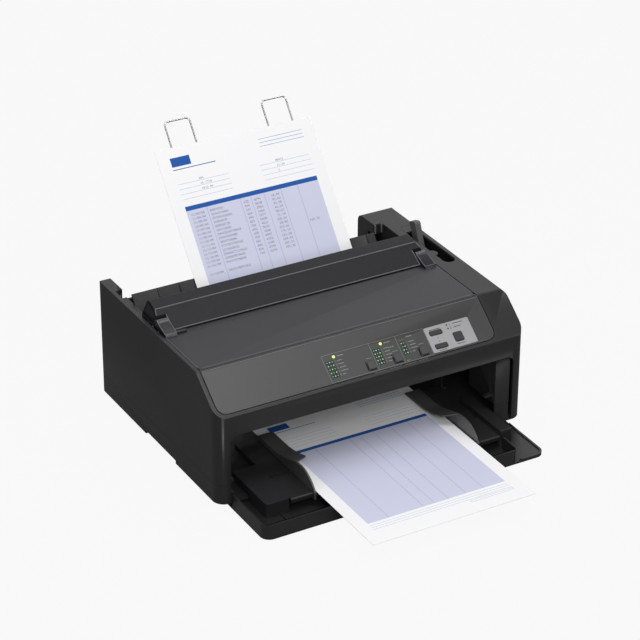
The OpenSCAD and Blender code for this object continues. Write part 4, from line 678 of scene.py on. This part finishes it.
def rear_cover_highlight_ridges():
    """Rounded ridges along the rear cover's crest and front lip, and down its ends, in a light finish as
    painted highlight of those edges.
    """
    ridges = bmesh.new()
    rod(ridges, (-194.4, *CREST), (159.9, *CREST), 0.75)
    rod(ridges, (-184.7, *LIP), (150.2, *LIP), 0.7)
    for x in (-184.5, 150.0):
        rod(ridges, (x, *LIP), (x, 168.2, 171.7), 0.6)
    for x, end in ((-194.4, -196.6), (159.9, 162.1)):
        rod(ridges, (x, *CREST), (end, 169.2, 172.4), 0.6)
    piece("rear_cover_highlight_ridges", ridges, BODY_OF["rear_cover"], "bar_plastic", "bar_ridge", 60.0)


def rear_cover_ends():
    """Walls that close the rear cover's ends, leaning inwards from foot to head."""
    ends = bmesh.new()
    for foot, head, inwards in ((-201.0, -193.0, 1.4), (166.5, 158.5, -1.4)):
        rim = [(foot + (head - foot) * (z - END_FOOT_Z) / END_RISE, y, z) for y, z in END_OUTLINE]
        thickened(ends, rim, inwards)
    piece("rear_cover_ends", ends, BODY_OF["rear_cover"], "bar_plastic")


def hinge_fittings():
    """The printer cover's hinge barrels, wider than the pins' own, in a grey lighter than the cover that is
    partly painted highlight, and rods in a light finish round its arms as painted edge highlights.
    """
    barrels, arm_highlight_edges = bmesh.new(), bmesh.new()
    for x in HINGE_ARMS:
        rod(barrels, (x + 0.1, *HINGE_PIN), (x + ARM_WIDE - 0.1, *HINGE_PIN), BARREL_RADIUS, 32)
        left, right = x + EDGE_IN, x + ARM_WIDE - EDGE_IN
        for side in (left, right):
            rod(arm_highlight_edges, (side, *ARM_LOW), (side, *ARM_HIGH), 0.5)
        rod(arm_highlight_edges, (left, *ARM_LOW), (right, *ARM_LOW), 0.5)
    piece("hinge_barrels", barrels, BODY_OF["printer_cover"], "cover_plastic", "hinge_grey", bevel=0.6)
    piece("hinge_arm_highlight_edges", arm_highlight_edges, BODY_OF["printer_cover"], "cover_plastic", "bar_ridge", 60.0)


def printer_cover_highlight_rims():
    """Fine rims along the printer cover's front and sides, in a light finish as painted highlight."""
    rims = bmesh.new()
    front = (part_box("printer_cover")[0][1] - FRONT_Y) / MM + 0.6
    rod(rims, (-197.0, front, RIM_Z), (164.0, front, RIM_Z), 0.5)
    for x in (-200.5, 167.5):
        rod(rims, (x, front + 3.6, RIM_Z), (x, 138.0, RIM_Z), 0.5)
    piece("printer_cover_highlight_rims", rims, BODY_OF["printer_cover"], "cover_plastic", "bar_ridge", 60.0)


def table_rail():
    """The raised rail on the sheet table's right block."""
    rail = bmesh.new()
    block(rail, *RAIL_BOX)
    piece("table_rail_right", rail, BODY_OF["sheet_table"], "case_plastic", "case_dark",
          bevel=1.1, segments=3)


def rear_cover_shade_flange():
    """The rear cover's inner flange behind its front lip, and the wings beside the hinge arms, in its dark
    plastic: put there so the slits behind them show dark, as painted shade.
    """
    flange = bmesh.new()
    for box in (FLANGE_BOX, *WING_BOXES):
        block(flange, *box)
    piece("rear_cover_shade_flange", flange, BODY_OF["rear_cover"], "bar_plastic", bevel=0.3)


def rear_housing_front():
    """The front part of the rear right housing."""
    housing = bmesh.new()
    block(housing, *HOUSING_BOX)
    piece("rear_housing_front", housing, "case", "case_plastic", bevel=0.7)


def panel_top():
    """A dark strip over the rounding between the panel and the printer cover, as painted shade, and a fine bead
    in a light finish that ends it, as painted highlight.
    """
    shade_strip = bmesh.new()
    sides = []
    for radius, z in ((6.05, 160.04), (5.9, 159.9)):
        bent = [(SHOULDER[0] + radius * math.cos(math.radians(turn)),
                 SHOULDER[1] + radius * math.sin(math.radians(turn))) for turn in SHADE_TURNS]
        sides.append(bent + [(SHADE_BACK, z)])
    thickened(shade_strip, [(SHADE_LEFT, y, z) for y, z in sides[0] + sides[1][::-1]], SHADE_RIGHT - SHADE_LEFT)
    piece("panel_top_painted_shade", shade_strip, "case", "panel_plastic", "mark_dark", 60.0)
    bead = bmesh.new()
    rod(bead, (SHADE_LEFT + 0.4, *BEAD), (SHADE_RIGHT, *BEAD), 0.6)
    piece("panel_top_highlight_bead", bead, "case", "panel_plastic", "bar_ridge", 60.0)


def lever_slot_end():
    """Closes the back end of the release lever's slot, which the lever doesn't reach."""
    slot_end = bmesh.new()
    block(slot_end, *SLOT_BOX)
    rod(slot_end, (*SLOT_END, 157.2), (*SLOT_END, 159.97), SLOT_RADIUS, 32)
    piece("lever_slot_end", slot_end, "case", "case_plastic")


def rear_housing_clips():
    """Two light clips on the rear right housing."""
    clips = bmesh.new()
    for box in CLIP_BOXES:
        block(clips, *box)
    piece("rear_housing_clips", clips, "case", "case_plastic", "clip_grey", bevel=0.5)


# Small mouldings that the CAD leaves plain; some take light or dark finishes as painted highlights and shade
FITTINGS = (rear_cover_highlight_ridges, rear_cover_ends, hinge_fittings, printer_cover_highlight_rims, table_rail,
            rear_cover_shade_flange, rear_housing_front, panel_top, lever_slot_end, rear_housing_clips)


# ---------------------------------------------------------------- stage


# The photograph's camera: turn, height and roll in degrees, aim in millimetres, distance in metres
CAMERA_TURN, CAMERA_HEIGHT, CAMERA_ROLL = (math.radians(degrees) for degrees in (-29.87, 28.66, 0.28))
CAMERA_AIM = (113.92, 329.17, 8.0)
CAMERA_DISTANCE = 3.29514
SENSOR = 36.0                    # millimetres
FOCAL_PIXELS, PHOTO_PIXELS = 2553, 640
FLOOR_HALF = 6                   # metres
FLOOR_GREY = 0.17
LAMP_AIM = Vector((0, 0, 0.1))
# Name, place in metres, size in metres and power in watts of each lamp
LAMPS = (
    ("front_light", (-0.9, -2.3, 1.6), 1.2, 44.0),
    ("slope_light", (0.24, -0.62, 1.95), 0.8, 13.0),
    ("rear_light", (1.05, 1.9, 1.3), 1.9, 10.0),
    ("top_light", (-0.5, 0.1, 2.4), 1.0, 17.0),
    ("crease_light", (1.0, -1.4, 1.55), 0.5, 3.5),
    ("edge_light", (-1.9, 0.1, 1.4), 0.6, 5.0),
    ("fold_light", (0.96, 0.67, 1.97), 0.5, 6.0),
)


def background_seen(tree, mirrored):
    """How far a ray sees the white background: wholly from the camera or through glass, partly mirrored."""
    path = tree.nodes.new("ShaderNodeLightPath")
    seen = tree.nodes.new("ShaderNodeMath")
    seen.operation = "MULTIPLY_ADD"
    tree.links.new(path.outputs["Is Glossy Ray"], seen.inputs[0])
    seen.inputs[1].default_value = mirrored
    tree.links.new(path.outputs["Is Camera Ray"], seen.inputs[2])
    most = tree.nodes.new("ShaderNodeMath")
    most.operation = "MAXIMUM"
    tree.links.new(seen.outputs[0], most.inputs[0])
    tree.links.new(path.outputs["Is Transmission Ray"], most.inputs[1])
    return most.outputs[0]


def place_camera(scene):
    """Stands the camera where the photograph was taken from."""
    camera = bpy.data.objects.new("camera", bpy.data.cameras.new("camera"))
    scene.collection.objects.link(camera)
    scene.camera = camera
    level = math.cos(CAMERA_HEIGHT)
    back = Vector((math.sin(CAMERA_TURN) * level, -math.cos(CAMERA_TURN) * level, math.sin(CAMERA_HEIGHT)))
    right = Vector((math.cos(CAMERA_TURN), math.sin(CAMERA_TURN), 0))
    up = back.cross(right)
    turned_right = right * math.cos(CAMERA_ROLL) + up * math.sin(CAMERA_ROLL)
    turned_up = up * math.cos(CAMERA_ROLL) - right * math.sin(CAMERA_ROLL)
    camera.data.sensor_width = SENSOR
    camera.data.lens = SENSOR * FOCAL_PIXELS / PHOTO_PIXELS
    camera.data.clip_end = 50
    camera.matrix_world = Matrix.Translation(at(*CAMERA_AIM) + back * CAMERA_DISTANCE) @ Matrix(
        (turned_right, turned_up, back)).transposed().to_4x4()


def lay_floor(scene, settings):
    """A grey floor that keeps the shadow and fades to white for the camera."""
    shape = bmesh.new()
    bmesh.ops.create_grid(shape, x_segments=1, y_segments=1, size=FLOOR_HALF)
    floor = bpy.data.meshes.new("floor")
    shape.to_mesh(floor)
    shape.free()
    floor_object = bpy.data.objects.new("floor", floor)
    scene.collection.objects.link(floor_object)
    finish = Finish("floor_paint", base_color=(FLOOR_GREY,) * 3, roughness=0.9)
    seen = Socket(finish, background_seen(finish.tree, settings.mirrored))
    glow = finish.node("ShaderNodeEmission", {}, {"Color": (1, 1, 1), "Strength": 1.0})
    both = finish.node("ShaderNodeMixShader", {}, {
        0: seen * settings.floor_glow, 1: Socket(finish, finish.shader.outputs[0]), 2: glow})
    finish.tree.links.new(both.out, finish.output.inputs["Surface"])
    floor.materials.append(finish.material)


def light_world(scene, settings):
    """Faint even light from all round, and a white background behind the object."""
    world = bpy.data.worlds.new("studio")
    scene.world = world
    world.use_nodes = True
    tree = world.node_tree
    tree.nodes.clear()
    joined = tree.nodes.new("ShaderNodeMixShader")
    out = tree.nodes.new("ShaderNodeOutputWorld")
    tree.links.new(background_seen(tree, settings.mirrored), joined.inputs[0])
    for place, strength in ((1, settings.world_strength), (2, 1.0)):
        emitter = tree.nodes.new("ShaderNodeBackground")
        emitter.inputs["Color"].default_value = (1, 1, 1, 1)
        emitter.inputs["Strength"].default_value = strength
        tree.links.new(emitter.outputs[0], joined.inputs[place])
    tree.links.new(joined.outputs[0], out.inputs[0])


def hang_lamps(scene, settings):
    """The lamps, each turned to the middle of the object."""
    for name, place, size, power in LAMPS:
        lamp = bpy.data.lights.new(name, "AREA")
        lamp.size, lamp.energy = size, power * settings.light_power
        holder = bpy.data.objects.new(name, lamp)
        scene.collection.objects.link(holder)
        holder.location = Vector(place)
        holder.rotation_euler = (LAMP_AIM - Vector(place)).to_track_quat("-Z", "Y").to_euler()


def build_stage(settings):
    """The camera, the floor, the surroundings and the lamps."""
    scene = bpy.context.scene
    scene.view_settings.view_transform = "Standard"
    place_camera(scene)
    lay_floor(scene, settings)
    light_world(scene, settings)
    hang_lamps(scene, settings)


# ---------------------------------------------------------------- add-on


class PrinterSettings(bpy.types.PropertyGroup):
    """Sizes and levels that a user may change."""

    edge_round: bpy.props.FloatProperty(
        name="Edge rounding", description="How far the moulded edges are rounded, against the real ones",
        default=1.0, min=0.2, max=2.0)
    printed_rows: bpy.props.IntProperty(
        name="Printed rows", description="Rows of figures on the rear sheet", default=16, min=0, max=24)
    floor_glow: bpy.props.FloatProperty(
        name="Floor glow", description="How far the floor fades to white for the camera",
        default=0.93, min=0.0, max=1.0)
    mirrored: bpy.props.FloatProperty(
        name="Mirrored background", description="How much of the white background reflections show",
        default=0.1, min=0.0, max=1.0)
    world_strength: bpy.props.FloatProperty(
        name="World strength", description="Light that the surroundings give", default=0.16, min=0.0)
    light_power: bpy.props.FloatProperty(
        name="Light power", description="Strength of all lamps together", default=0.87, min=0.0)


class PRINTER_OT_stage(bpy.types.Operator):
    """Makes the floor, the lights and the camera"""

    bl_idname = "printer.stage"
    bl_label = "Stage"

    def execute(self, context):
        build_stage(context.scene.printer)
        return {"FINISHED"}


class PRINTER_OT_finishes(bpy.types.Operator):
    """Gives every CAD node the finish of its material slot"""

    bl_idname = "printer.finishes"
    bl_label = "Finishes"

    def execute(self, context):
        for node, slot in SLOT_OF.items():
            mesh = NODES[node].data
            mesh.materials.clear()
            mesh.materials.append(finish_of(slot))
        return {"FINISHED"}


# Node, width of its rounding in millimetres, and a finish where it isn't the slot's own
ROUNDED = (
    ("upper_case", 0.9, None), ("lower_case", 0.8, None), ("control_panel", 0.35, None),
    ("front_tray", 0.9, "case_dark"), ("sheet_table", 0.9, "case_dark"),
    # The edge guides take a lighter grey as painted light
    ("edge_guide_left", 0.5, "guide_grey"), ("edge_guide_right", 0.5, "guide_grey"),
    ("rear_cover", 0.9, None), ("printer_cover", 0.6, None), ("paper_guide", 0.3, "case_plastic"),
    ("release_lever", 0.5, "lever_grey"), ("platen_knob", 0.4, None),
    ("key_left", 0.4, None), ("key_middle", 0.4, None), ("key_right", 0.4, None),
    ("key_feed", 0.4, None), ("key_load", 0.4, None), ("key_pause", 0.4, None),
    ("ribbon_cartridge", 0.5, None), ("carriage", 0.5, None), ("print_head", 0.3, None),
    ("thickness_lever", 0.5, None), ("tractor_left", 0.5, None), ("tractor_right", 0.5, None),
    ("power_supply", 0.5, None),
)


class PRINTER_OT_rounded(bpy.types.Operator):
    """Rounds the moulded pieces' edges as the real ones are"""

    bl_idname = "printer.rounded"
    bl_label = "Moulded pieces"

    def execute(self, context):
        for node, width, finish in ROUNDED:
            rounded_copy(node, width * context.scene.printer.edge_round, finish)
        return {"FINISHED"}


class PRINTER_OT_fittings(bpy.types.Operator):
    """Adds the ridges, rims and panel bead in light finishes as painted highlights, the flange and the panel
    top's dark strip as painted shade, the rail, clips and other small mouldings
    """

    bl_idname = "printer.fittings"
    bl_label = "Small fittings"

    def execute(self, context):
        for fitting in FITTINGS:
            fitting()
        return {"FINISHED"}


class PRINTER_OT_panel_marks(bpy.types.Operator):
    """Prints the control panel's lines, dots and figures and paints shadows beside the select keys"""

    bl_idname = "printer.panel_marks"
    bl_label = "Panel marks"

    def execute(self, context):
        panel_marks()
        return {"FINISHED"}


class PRINTER_OT_sheets(bpy.types.Operator):
    """Prints the rear and the front sheet"""

    bl_idname = "printer.sheets"
    bl_label = "Printed sheets"

    def execute(self, context):
        printed_form("rear_form", REAR_SHEET, SHEET_TOP["rear"], 0.0, context.scene.printer.printed_rows)
        printed_form("front_form", FRONT_SHEET, SHEET_TOP["front"], None, 0)
        return {"FINISHED"}


STEPS = (PRINTER_OT_stage, PRINTER_OT_finishes, PRINTER_OT_rounded, PRINTER_OT_fittings,
         PRINTER_OT_panel_marks, PRINTER_OT_sheets)


class PRINTER_PT_panel(bpy.types.Panel):
    """The printer's settings and steps"""

    bl_label = "Printer"
    bl_idname = "PRINTER_PT_panel"
    bl_space_type = "VIEW_3D"
    bl_region_type = "UI"
    bl_category = "Printer"

    def draw(self, context):
        settings = context.scene.printer
        for name in PrinterSettings.__annotations__:
            self.layout.prop(settings, name)
        for step in STEPS:
            self.layout.operator(step.bl_idname)


def register():
    for made in (PrinterSettings, *STEPS, PRINTER_PT_panel):
        bpy.utils.register_class(made)
    bpy.types.Scene.printer = bpy.props.PointerProperty(type=PrinterSettings)


def unregister():
    del bpy.types.Scene.printer
    for made in (PRINTER_PT_panel, *reversed(STEPS), PrinterSettings):
        bpy.utils.unregister_class(made)


def main():
    register()
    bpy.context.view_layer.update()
    for step in STEPS:
        group, name = step.bl_idname.split(".")
        getattr(getattr(bpy.ops, group), name)()


if __name__ == "__main__":
    main()
